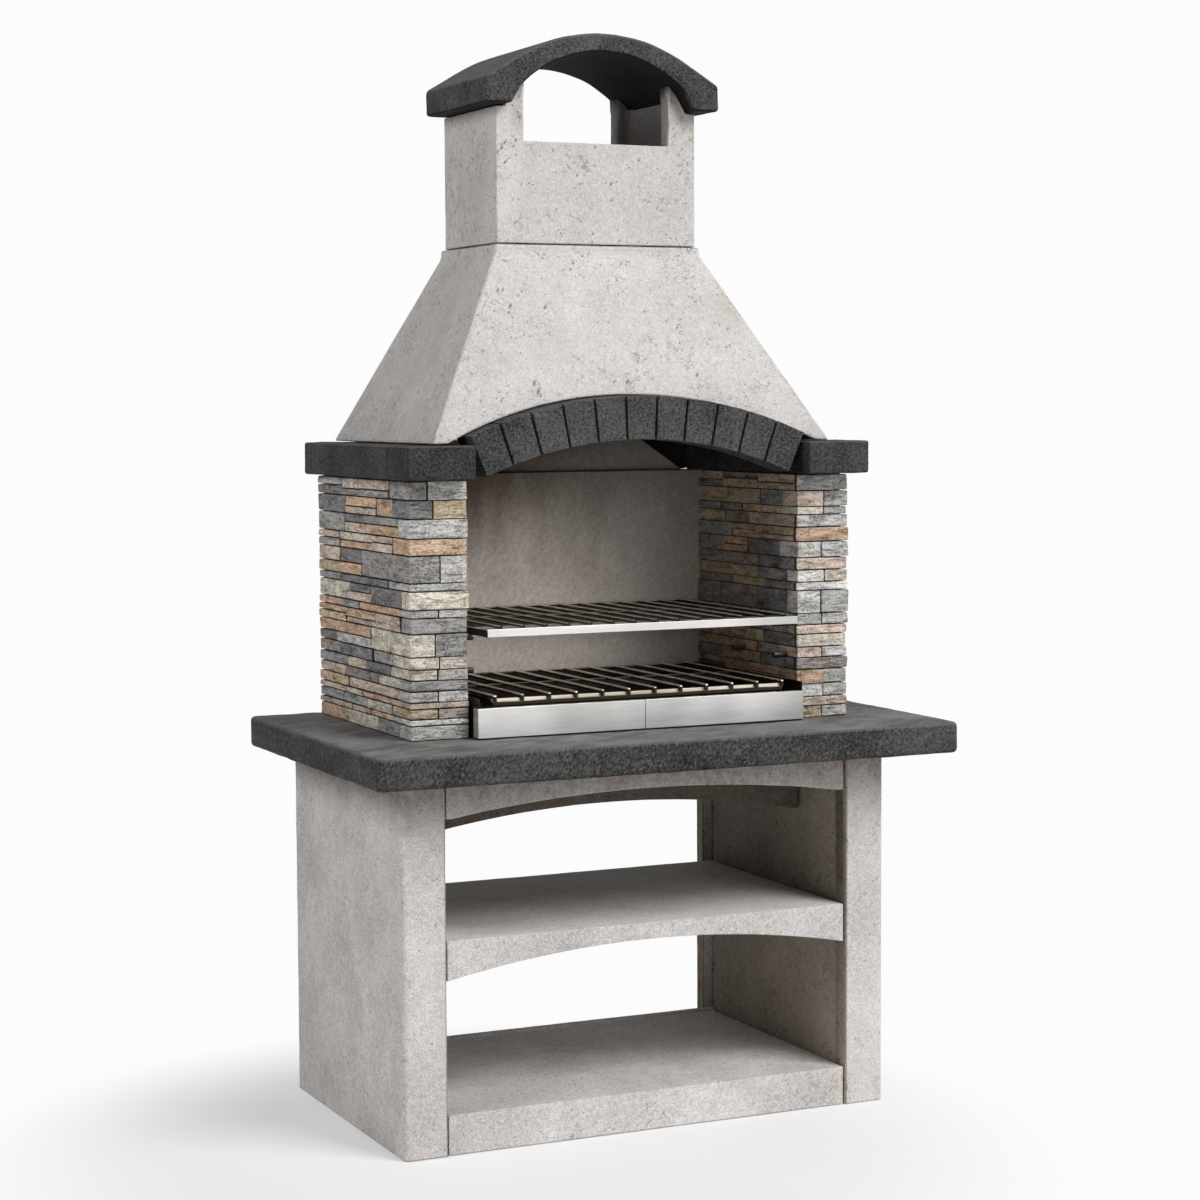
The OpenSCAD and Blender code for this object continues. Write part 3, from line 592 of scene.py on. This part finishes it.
# %% [markdown]
# ## Pieces with worn edges
#
# A saw-sharp edge gives computer models away: every cast or cut edge is really a narrow round
# that wanders by a millimetre. So each piece starts as a copy of its solid, whose loose
# triangles are merged and whose flat faces are joined, because a bevel needs whole faces.

# %% Copying a solid
MERGE = 1e-5
FLAT = math.radians(0.4)
SHARP = math.radians(20)


def solid_copy(node):
    """The node's shape as a mesh in work, with whole flat faces."""
    shape = bmesh.new()
    shape.from_mesh(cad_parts[node].data)
    bmesh.ops.remove_doubles(shape, verts=shape.verts, dist=MERGE)
    bmesh.ops.dissolve_limit(shape, angle_limit=FLAT, verts=shape.verts, edges=shape.edges)
    return shape


def is_sharp(edge):
    return len(edge.link_faces) == 2 and edge.calc_face_angle(0) > SHARP


# %% [markdown]
# Some edges stay sharp, because a round would not fit: those beside a face that is too narrow,
# and those that end where short steps crowd together.

# %% Choosing the edges
STRAIGHT = 0.9
ROOM = 2.2
SHORT = 2


def runs_on(edge, vert):
    """Whether another sharp edge carries on straight, or nearly so, past an edge's end."""
    along = (edge.other_vert(vert).co - vert.co).normalized()
    for other in vert.link_edges:
        if other is not edge and is_sharp(other):
            if (other.other_vert(vert).co - vert.co).normalized().dot(along) < -STRAIGHT:
                return True
    return False


def too_narrow(edge, width):
    """Whether a face beside the edge is narrower than a width, so that no round fits on it."""
    start, end = (vert.co for vert in edge.verts)
    along = (end - start).normalized()
    for face in edge.link_faces:
        reach = max((along.cross(vert.co - start)).length for vert in face.verts)
        if reach < width:
            return True
    return False


def edges_to_round(shape, radius):
    """The sharp edges with room for a round, and the points where short steps leave none."""
    sharp = [edge for edge in shape.edges if is_sharp(edge)]
    crowded = set()
    for edge in sharp:
        if edge.calc_length() < SHORT * radius:
            if not all(runs_on(edge, vert) for vert in edge.verts):
                crowded.update(edge.verts)
    return [edge for edge in sharp if not too_narrow(edge, ROOM * radius)], crowded


# %% [markdown]
# A long edge is cut into short lengths before the bevel, so that its round has points on the
# way that can wander. They only go inwards, because a worn edge has lost material.

# %% Rounding and wearing
def cut_edge(edge, length):
    """Cuts an edge into pieces of about that length. Gives back the pieces."""
    pieces = []
    start = edge.verts[0]
    for left in range(max(1, round(edge.calc_length() / length)), 1, -1):
        new_edge, new_point = bmesh.utils.edge_split(edge, start, 1 / left)
        done, edge = (new_edge, edge) if start in new_edge.verts else (edge, new_edge)
        pieces.append(done)
        start = new_point
    return pieces + [edge]


def wander(point, amount, size):
    """A steady random push at a point: amount at most, changing over size metres."""
    return amount * (0.5 + 0.5 * noise.noise(point / size))


def mark_flat(shape, rounds):
    """Notes on each face, by its smooth flag, whether it belongs to a rounded edge."""
    for face in shape.faces:
        face.smooth = face in rounds


def round_edges(shape, radius, segments=2, step=0.03, wear=0.001, wear_size=0.05):
    """Rounds every sharp edge that has room and wears it inwards."""
    chosen, crowded = edges_to_round(shape, radius)
    pieces = [piece for edge in chosen for piece in cut_edge(edge, step)]
    pieces = [piece for piece in pieces if not crowded.intersection(piece.verts)]
    result = bmesh.ops.bevel(shape, geom=pieces, offset=radius, offset_type="OFFSET",
                             affect="EDGES", segments=segments, profile=0.5, material=-1,
                             clamp_overlap=False)
    shape.normal_update()
    mark_flat(shape, set(result["faces"]))
    worn = {vert for face in result["faces"] for vert in face.verts}
    pushes = {vert: -vert.normal * wander(vert.co, wear, wear_size) for vert in worn}
    for vert, push in pushes.items():
        vert.co += push


# %% [markdown]
# A round would bend the shading of the flat faces beside it as well. So each point takes the
# normal of its flat faces where they agree, and the light turns only over the round itself.

# %% Finishing a piece
ROOT = "root"


def even_normals(shape):
    """A normal for each point: its flat faces' one where they agree, or else none."""
    normals = []
    for vert in shape.verts:
        flats = [face.normal for face in vert.link_faces if not face.smooth]
        whole = sum(flats, Vector()).normalized()
        agree = all(whole.dot(normal) > math.cos(SHARP) for normal in flats)
        normals.append(whole if agree else Vector())
    return normals


def add_piece(shape, name, nodes, body, materials):
    """Turns the mesh in work into a piece that stands for CAD nodes and rides on a body."""
    shape.normal_update()
    normals = even_normals(shape)
    for edge in shape.edges:
        edge.smooth = not is_sharp(edge)
    for face in shape.faces:
        face.smooth = True
    mesh = bpy.data.meshes.new(name)
    shape.to_mesh(mesh)
    shape.free()
    mesh.normals_split_custom_set_from_vertices(normals)
    for material in materials:
        mesh.materials.append(material)
    piece = bpy.data.objects.new(name, mesh)
    bpy.context.scene.collection.objects.link(piece)
    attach(piece, body)
    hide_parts(*nodes)
    print(name, len(mesh.polygons), "faces")


# %% [markdown]
# ## The concrete pieces
#
# The side panels, shelves and lintels of the base share one treatment. A panel's inner side is
# painted darker as shade, the inner lintel darker still, and the middle shelf's sheltered top is
# painted lighter as light. On the hood and the chimney the faces that look inwards to the smoke
# get the soot. A face looks inwards if it faces the axis that runs up through the middle of the
# flue.

# %% Base
BASE_WEAR = 0.0012
BASE = {"left_side_panel": (0.004, [BASE_CONCRETE, SHADED_INNER_CONCRETE]),
        "right_side_panel": (0.004, [BASE_CONCRETE, SHADED_INNER_CONCRETE]),
        "bottom_shelf": (0.0025, [BASE_CONCRETE]),
        "middle_shelf": (0.0025, [BASE_CONCRETE, LIT_SHELF_CONCRETE]),
        "front_lintel": (0.0025, [BASE_CONCRETE]),
        "inner_lintel": (0.0025, [SHADED_CONCRETE])}
ACROSS = -0.1
LEVEL = 0.9


def second_finish(shape, chosen):
    """Gives the second finish to the faces that a test chooses. Gives back how many."""
    count = 0
    for face in shape.faces:
        face.material_index = int(chosen(face))
        count += face.material_index
    return count


def looks_across(face):
    """Whether a face of a side panel looks to the other side of the base."""
    return face.normal.x * face.calc_center_median().x < ACROSS


def looks_up(face):
    return face.normal.z > LEVEL


SECOND = {"left_side_panel": looks_across, "right_side_panel": looks_across,
          "middle_shelf": looks_up}

for node, (radius, materials) in BASE.items():
    shape = solid_copy(node)
    round_edges(shape, radius, wear=BASE_WEAR)
    if node in SECOND:
        print(node, "inner or top faces:", second_finish(shape, SECOND[node]))
    add_piece(shape, node + "_cast", [node], ROOT, materials)

# %% Hood and chimney
INWARD = 0.35
SOOTY_FLUE = 0.15
HOOD_WEAR = 0.0015

flue_low, flue_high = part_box("chimney")
flue_axis = (flue_low + flue_high) / 2


def looks_inward(low, high):
    """A test for faces between two heights that look towards the flue's axis."""
    def chosen(face):
        middle = face.calc_center_median()
        inward = Vector((flue_axis.x - middle.x, flue_axis.y - middle.y, 0)).normalized()
        return low < middle.z < high and face.normal.dot(inward) > INWARD
    return chosen


for node, radius in (("hood", 0.007), ("chimney", 0.004)):
    shape = solid_copy(node)
    round_edges(shape, radius, segments=3, wear=HOOD_WEAR)
    low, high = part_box(node)
    sooty_top = high.z if node == "hood" else flue_low.z + SOOTY_FLUE
    print(node, "sooty faces:", second_finish(shape, looks_inward(low.z, sooty_top)))
    add_piece(shape, node + "_cast", [node], ROOT, [CONCRETE, SOOT])

# %% [markdown]
# The back panel and the beam above it close the fire chamber. The beam's upper corners are cut
# off on a slant, where the smoke turns into the hood, and those two slants are sooty.

# %% Fire chamber
CHAMBER_RADIUS = 0.003
CHAMBER_WEAR = 0.0008
SLANT_START, SLANT_END, SLANT_SIDE = 0.006, 0.06, 0.2
TILTED = 0.5
beam_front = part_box("rear_beam")[0].y


def is_smoke_slant(face):
    """Whether a face belongs to the slants at the beam's upper corners."""
    middle = face.calc_center_median()
    behind = middle.y - beam_front
    return (SLANT_START < behind < SLANT_END and abs(middle.x) > SLANT_SIDE
            and face.normal.y < TILTED and face.normal.z > -TILTED)


for node, slot in (("back_panel", "firebox_concrete"), ("rear_beam", "concrete")):
    shape = solid_copy(node)
    round_edges(shape, CHAMBER_RADIUS, wear=CHAMBER_WEAR)
    materials = [REFRACTORY]
    if node == "rear_beam":
        materials.append(SOOT)
        print(node, "sooty faces:", second_finish(shape, is_smoke_slant))
    add_piece(shape, node + "_cast", [node], ROOT, materials)

# %% [markdown]
# ## The dark stone pieces
#
# The same rounding, wider and rougher, makes the slab, the cornice, the cap and the eleven
# wedge stones. Each wedge stone is its own piece, so its worn edges differ from its neighbours'.
# The smoke leaves under the roof cap, so the cap's hollow side gets the soot finish, which also
# stands as painted shade there.

# %% Slab, cornice and cap
DARK = {"worktop": (0.011, [CHISELLED]), "left_cornice_block": (0.006, [SLATE_STONE]),
        "right_cornice_block": (0.006, [SLATE_STONE]), "left_cornice_bar": (0.006, [SLATE_STONE]),
        "right_cornice_bar": (0.006, [SLATE_STONE]), "roof_cap": (0.008, [GRANITE, SOOT])}
ROUGH_CUT = {"segments": 3, "step": 0.02, "wear": 0.0022, "wear_size": 0.035}


def looks_down(face):
    return face.normal.z < -TILTED


for node, (radius, materials) in DARK.items():
    shape = solid_copy(node)
    round_edges(shape, radius, **ROUGH_CUT)
    # Soot and painted shade: the cap's downward faces get the soot finish.
    if SOOT in materials:
        print(node, "sooty faces:", second_finish(shape, looks_down))
    add_piece(shape, node + "_stone", [node], ROOT, materials)

# %% Wedge stones
WEDGE_RADIUS = 0.0028
FINE_CUT = {"step": 0.012, "wear": 0.0015, "wear_size": 0.02}

for node in sorted(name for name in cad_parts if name.startswith("voussoir")):
    shape = solid_copy(node)
    round_edges(shape, WEDGE_RADIUS, **FINE_CUT)
    add_piece(shape, node + "_stone", [node], ROOT, [GRANITE])

# %% [markdown]
# ## The ledge stones
#
# Every ledge stone is a separate strip of split rock with its own colour and its own grain.
# The corner stones show in front, and their tones follow the real wall from the bottom up; all
# the others are drawn from the same rock by chance, by the weights beside the tones.

# %% Stone tones
SLATE, GREY, ASH = rgb(104, 102, 103), rgb(146, 143, 140), rgb(178, 176, 171)
PALE, CREAM, ROSE = rgb(206, 203, 197), rgb(216, 206, 188), rgb(205, 184, 166)
TAN, OCHRE, MAUVE = rgb(196, 162, 130), rgb(190, 168, 134), rgb(140, 128, 120)

OUTWARD_MIX = [(SLATE, 18), (GREY, 22), (ROSE, 28), (MAUVE, 6), (TAN, 12), (ASH, 8), (OCHRE, 6),
               (CREAM, 10)]
INWARD_MIX = [(MAUVE, 28), (SLATE, 14), (TAN, 26), (GREY, 8), (OCHRE, 18), (ROSE, 6)]

CORNER_TONES = {
    "left_outer_stones": [ASH, PALE, OCHRE, ROSE, ASH, GREY, CREAM, CREAM, CREAM, GREY, ASH,
                          CREAM, ASH, GREY, TAN, ASH, SLATE, GREY],
    "left_inner_stones": [MAUVE, PALE, ASH, CREAM, GREY, ASH, ASH, OCHRE, ASH],
    "right_outer_stones": [PALE, ROSE, PALE, ASH, MAUVE, PALE, CREAM, ROSE, ASH, ASH, PALE,
                           CREAM, ROSE, ASH, TAN, ASH, ASH, ASH, ASH],
    "right_inner_stones": [OCHRE, PALE, TAN, ROSE, ASH, PALE, PALE, PALE, CREAM, ROSE],
}
print("corner stones:", {node: len(tones) for node, tones in CORNER_TONES.items()})

# %% [markdown]
# The finish reads a stone's tone from its mesh, in the attribute `stone_tone`, whose fourth
# number says how deep a point lies in a joint. A second attribute shifts the patterns, so that
# no vein runs on from one stone into the next. Split rock breaks in thin beds, which show as
# long streaks and small steps.

# %% Stone finish
BEDS, LAYERS, HOLLOWS, STONE_PATCHES, RUST_PATCHES = 60, 90, 70, 22, 12
RUST, CREVICE_SHADE, SPLIT, JOINT = rgb(178, 134, 98), rgb(46, 42, 39), rgb(38, 34, 31), rgb(26, 23, 21)
SPLIT_DEPTH = 0.0035


def ledge_stone(name):
    """Split rock in thin beds, in the tone that the mesh gives to each stone."""
    finish = Finish(name)
    tone = finish.attribute("stone_tone", "Color")
    joint = finish.attribute("stone_tone", "Alpha")
    offset = finish.attribute("stone_offset", "Vector")
    point = finish.shift(finish.place(), offset)
    beds = finish.noise(finish.shift(finish.place((2.9, 2.9, 0.62)), offset), BEDS, 5, 0.65, 0.5)
    patch = finish.noise(point, STONE_PATCHES, 4, 0.6)
    grain = finish.noise(point, SAND, 3, 0.7)
    share = 0.62 + (beds - 0.5) * 2.2 + (patch - 0.5) * 1.2 + (grain - 0.5) * 1.9
    colour = finish.mix(finish.mix(tone, BLACK, 0.68), finish.mix(tone, WHITE, 0.16),
                        finish.step(share, 0.0, 1.0))
    rust = finish.step(finish.noise(point, RUST_PATCHES, 3, 0.6), 0.58, 0.74)
    colour = finish.mix(colour, RUST, rust * 0.35)
    # Painted shade: the low beds, which the bump sinks, are painted darker.
    crevice_shade = 1 - finish.step(beds, 0.24, 0.40)
    colour = finish.mix(colour, CREVICE_SHADE, crevice_shade * 0.65)
    colour = finish.mix(colour, JOINT, finish.step(joint, 0.3, 0.85) * 0.92)
    hollow = finish.step(finish.noise(point, HOLLOWS, 3, 0.6), 0.3, 0.45)
    layers = finish.noise(finish.shift(finish.place((3.2, 3.2, 0.5)), offset), LAYERS, 3, 0.6)
    split = (1 - finish.step(abs(layers - 0.5), 0.004, 0.024)) * finish.step(patch, 0.42, 0.56)
    colour = finish.mix(colour, SPLIT, split * 0.55)
    relief = beds + 0.7 * patch + 0.35 * grain + 0.5 * hollow - 0.5 * split
    return finish.close(colour, 0.85 - 0.1 * grain, finish.bump(relief, SPLIT_DEPTH, 0.9),
                        Specular_IOR_Level=MATT)


LEDGE = ledge_stone("ledge_stone")
print(LEDGE.name, "has", len(LEDGE.node_tree.nodes), "nodes")

# %% [markdown]
# The solids of a wall face come in one mesh, so the loose stones are first told apart. Those
# that reach the wall's front are the corner stones.

# %% Telling the stones apart
FRONT_REACH = 0.012


def islands(shape):
    """The loose stones of a mesh, as lists of points, in a steady order."""
    left = set(shape.verts)
    found = []
    for vert in shape.verts:
        if vert not in left:
            continue
        group, waiting = [], [vert]
        left.discard(vert)
        while waiting:
            point = waiting.pop()
            group.append(point)
            for edge in point.link_edges:
                other = edge.other_vert(point)
                if other in left:
                    left.discard(other)
                    waiting.append(other)
        found.append(group)
    return found


def draw_tones(groups, wall_front, corner_tones, mix, dice):
    """One tone for each stone: the corner stones' from the list, by height, others by chance."""
    corners = [g for g in groups if min(v.co.y for v in g) < wall_front + FRONT_REACH]
    corners.sort(key=lambda group: min(v.co.z for v in group))
    tones = {id(group): tone for group, tone in zip(corners, corner_tones)}
    choices = [tone for tone, weight in mix for _ in range(weight)]
    return [tones.get(id(group)) or dice.choice(choices) for group in groups]


# %% [markdown]
# A stone's front is no plane, and it needs points to be shaped by. The rounded copy is cut into
# a coarse net: planes are laid across the whole wall face, and every face they meet is divided.

# %% Rounding and netting the stones
STONE_RADIUS = 0.0028
NET = 0.016


def cut_net(shape, low, high, spacing):
    """Cuts the whole mesh by planes across X and Y, a spacing apart."""
    for normal in (Vector((1, 0, 0)), Vector((0, 1, 0))):
        reach = (high - low).dot(normal)
        count = int(reach / spacing)
        for index in range(1, count):
            geometry = shape.verts[:] + shape.edges[:] + shape.faces[:]
            bmesh.ops.bisect_plane(shape, geom=geometry, plane_no=normal,
                                   plane_co=low + normal * (index * reach / count))


def netted_stones(node):
    """A wall face's stones with rounded edges, cut into the net."""
    shape = solid_copy(node)
    edges = [edge for edge in shape.edges if is_sharp(edge)]
    result = bmesh.ops.bevel(shape, geom=edges, offset=STONE_RADIUS, offset_type="OFFSET",
                             affect="EDGES", segments=2, profile=0.5, material=-1,
                             clamp_overlap=True)
    mark_flat(shape, set(result["faces"]))
    cut_net(shape, *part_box(node), NET)
    shape.normal_update()
    return shape


# %% [markdown]
# Each point of a face that looks out of the wall is pushed in by its own amount, never out. The
# other faces lie in a joint: they keep their place, so that the joints stay narrow, and get
# darker inside.

# %% Open faces and joints
OUTER_REACH = 0.03
LOOKS_OUT = 0.3
RIM_DEPTH = 0.68


def open_faces(shape, side):
    """The ways each point looks out of the wall, front or side, and its faces that do."""
    ways = {vert: set() for vert in shape.verts}
    faces = {vert: set() for vert in shape.verts}
    for way in ((0, -1, 0), (side, 0, 0)):
        direction = Vector(way)
        reach = max(vert.co.dot(direction) for vert in shape.verts) - OUTER_REACH
        for face in shape.faces:
            if face.normal.dot(direction) > LOOKS_OUT:
                if face.calc_center_median().dot(direction) > reach:
                    for vert in face.verts:
                        ways[vert].add(way)
                        faces[vert].add(face)
    return ways, faces


def joint_depth(vert, faces):
    """0 on a stone's open face, 1 deep in a joint, and a value between at the rim."""
    if not faces:
        return 1
    return 0 if len(faces) == len(vert.link_faces) else RIM_DEPTH


# %% [markdown]
# Now the stones are split one by one. The side of a wall is lit less or more than its front, so
# the tone of those faces is lifted by a factor, and each stone has a brightness of its own.

# %% Splitting the stones
ROUGH = 0.0040
ROUGH_SIZE = 0.02
INSIDE_LIFT = 0.95
OUTSIDE_LIFT = 1.2
BRIGHTNESS = (1.05, 1.42)
BRIGHTEST = 0.9
DRIFT = 9


def split_stones(node, side, mix, seed):
    """A wall face's stones, roughened and coloured one by one. Gives back how many."""
    dice = random.Random(seed)
    side_lift = INSIDE_LIFT if "inner" in node else OUTSIDE_LIFT
    shape = netted_stones(node)
    tone_layer = shape.loops.layers.float_color.new("stone_tone")
    offset_layer = shape.loops.layers.float_color.new("stone_offset")
    groups = islands(shape)
    ways, faces = open_faces(shape, side)
    tones = draw_tones(groups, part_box(node)[0].y, CORNER_TONES[node], mix, dice)
    for group, tone in zip(groups, tones):
        bright = dice.uniform(*BRIGHTNESS)
        offset = [dice.uniform(-DRIFT, DRIFT) for _ in range(3)] + [1]
        drift = Vector(offset[:3])
        for vert in group:
            for loop in vert.link_loops:
                lift = side_lift if round(side * loop.face.normal.x) == 1 else 1
                strength = min(lift * bright, BRIGHTEST / max(tone))
                depth = joint_depth(vert, faces[vert])
                loop[tone_layer] = (*scaled(tone, strength), depth)
                loop[offset_layer] = offset
            push = wander(vert.co + drift, ROUGH, ROUGH_SIZE)
            for way in sorted(ways[vert]):
                vert.co -= Vector(way) * push
    add_piece(shape, node + "_split", [node], ROOT, [LEDGE])
    return len(groups)


WALL_FACES = {"left_outer_stones": (-1, OUTWARD_MIX), "left_inner_stones": (1, INWARD_MIX),
              "right_outer_stones": (1, OUTWARD_MIX), "right_inner_stones": (-1, INWARD_MIX)}

for seed, (node, (side, mix)) in enumerate(WALL_FACES.items(), start=11):
    print(node, split_stones(node, side, mix, seed), "stones")

# %% [markdown]
# ## Mortar and steel
#
# The wall cores show as the dark bed between the stones. Rods, pegs and pan have been in the
# fire: they are brown-black, with bright patches on top, where food and tools have scraped them
# and where a highlight is painted. The folded sheets in front are brushed stainless, and the
# grate's bar is dark below, heat-tinted brown and painted as shade.

# %% Fired steel
BRIGHT_PATCHES, SCALE_GRAIN = 28, 220
SCALE_DEPTH = 0.0004


def fired_steel(name, dark, bright, low, high):
    """Oiled, heat-stained steel. Its top is painted bright in patches: scraping and a highlight.
    """
    finish = Finish(name)
    where = finish.place()
    patch = finish.noise(where, BRIGHT_PATCHES, 4, 0.65)
    grain = finish.noise(where, SCALE_GRAIN, 3, 0.6)
    # Painted highlight and scraping: faces that look up are painted bright in patches.
    upward_scrape_and_highlight = finish.upward() + (patch - 0.5) * 0.8 + (grain - 0.5) * 0.3
    scraped_and_highlight = finish.step(upward_scrape_and_highlight, low, high)
    return finish.close(finish.mix(dark, bright, scraped_and_highlight), 0.52 - 0.18 * scraped_and_highlight,
                        finish.bump(grain + patch, SCALE_DEPTH, 0.4), Metallic=0.85)


RODS = fired_steel("scraped_highlit_steel", rgb(46, 40, 35), rgb(240, 230, 216), 0.15, 0.55)
PAN = fired_steel("fired_steel", rgb(40, 35, 31), rgb(84, 76, 68), 0.5, 1.1)
PEG_STEEL = fired_steel("peg_steel", rgb(58, 53, 48), rgb(124, 117, 108), 0.1, 0.9)
print("fired finishes:", [steel.name for steel in (RODS, PAN, PEG_STEEL)])

# %% Stainless steel
BRUSHING, BANDS, TONES = 900, 60, 3.5
BRUSH_DEPTH = 0.0002
BURNT_SHADE_TONE = rgb(46, 40, 34)
DARK_BAND_BLEND = 0.0015


def stainless(name, dark, bright, dark_below=0):
    """Sheet brushed along X, with soft cloudy tones, dark below a height: heat tint and painted
    shade.
    """
    finish = Finish(name)
    brush = finish.noise(finish.place((50, 1, 1)), BRUSHING, 3, 0.6)
    band = finish.noise(finish.place((6, 1, 1)), BANDS, 3, 0.5)
    cloud = finish.noise(finish.place(), TONES, 2, 0.5)
    share = finish.step(cloud + (brush - 0.5) * 0.3 + (band - 0.5) * 0.1, 0.25, 0.75)
    height = finish.part(finish.place(), "Z") + (band - 0.5) * 0.004
    # Painted shade and heat tint: the sheet is dark below a height.
    above_dark_band = finish.step(height, dark_below - DARK_BAND_BLEND, dark_below + DARK_BAND_BLEND)
    colour = finish.mix(BURNT_SHADE_TONE, finish.mix(dark, bright, share), above_dark_band)
    return finish.close(colour, 0.30 + 0.10 * brush + 0.08 * band,
                        finish.bump(brush, BRUSH_DEPTH, 0.3), Metallic=1.0)


STAINLESS = stainless("brushed_stainless", rgb(170, 169, 167), rgb(222, 221, 219))
grate_bar_low, grate_bar_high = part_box("fire_grate_front")
print("grate bar from", round(grate_bar_low.z, 4), "to", round(grate_bar_high.z, 4))
HOT_SHADED_STAINLESS = stainless("heat_tinted_shaded_stainless", rgb(158, 146, 132), rgb(226, 216, 202),
                          0.45 * grate_bar_low.z + 0.55 * grate_bar_high.z)

# %% [markdown]
# The rods, the pegs, the pan and the wall cores keep their solids, because nothing is missing
# in their shape. They only get a finish.

# %% Finishes on the solids
MORTAR = concrete("dark_mortar", rgb(78, 74, 70), rgb(52, 49, 46), cracks=0.0)
KEPT = {"left_wall_core": MORTAR, "right_wall_core": MORTAR, "tray_pan": PAN,
        "left_grill_pegs": PEG_STEEL, "right_grill_pegs": PEG_STEEL,
        "upper_grill_grid": RODS, "fire_grate_grid": RODS}

for node, material in KEPT.items():
    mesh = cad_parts[node].data
    mesh.materials.clear()
    mesh.materials.append(material)
    print(node, "is", material.name)

# %% [markdown]
# The sheets in front get a fine round along their folds. It has no wear: steel keeps its line.

# %% Sheets
SHEETS = {"upper_grill_front": ("upper_grill", STAINLESS),
          "left_tray_plate": ("fire_tray", STAINLESS),
          "right_tray_plate": ("fire_tray", STAINLESS),
          "fire_grate_front": ("fire_grate", HOT_SHADED_STAINLESS)}
FOLD_RADIUS = 0.0008
WHOLE_EDGE = 1

for node, (body, material) in SHEETS.items():
    shape = solid_copy(node)
    round_edges(shape, FOLD_RADIUS, step=WHOLE_EDGE, wear=0)
    add_piece(shape, node + "_sheet", [node], body, [material])
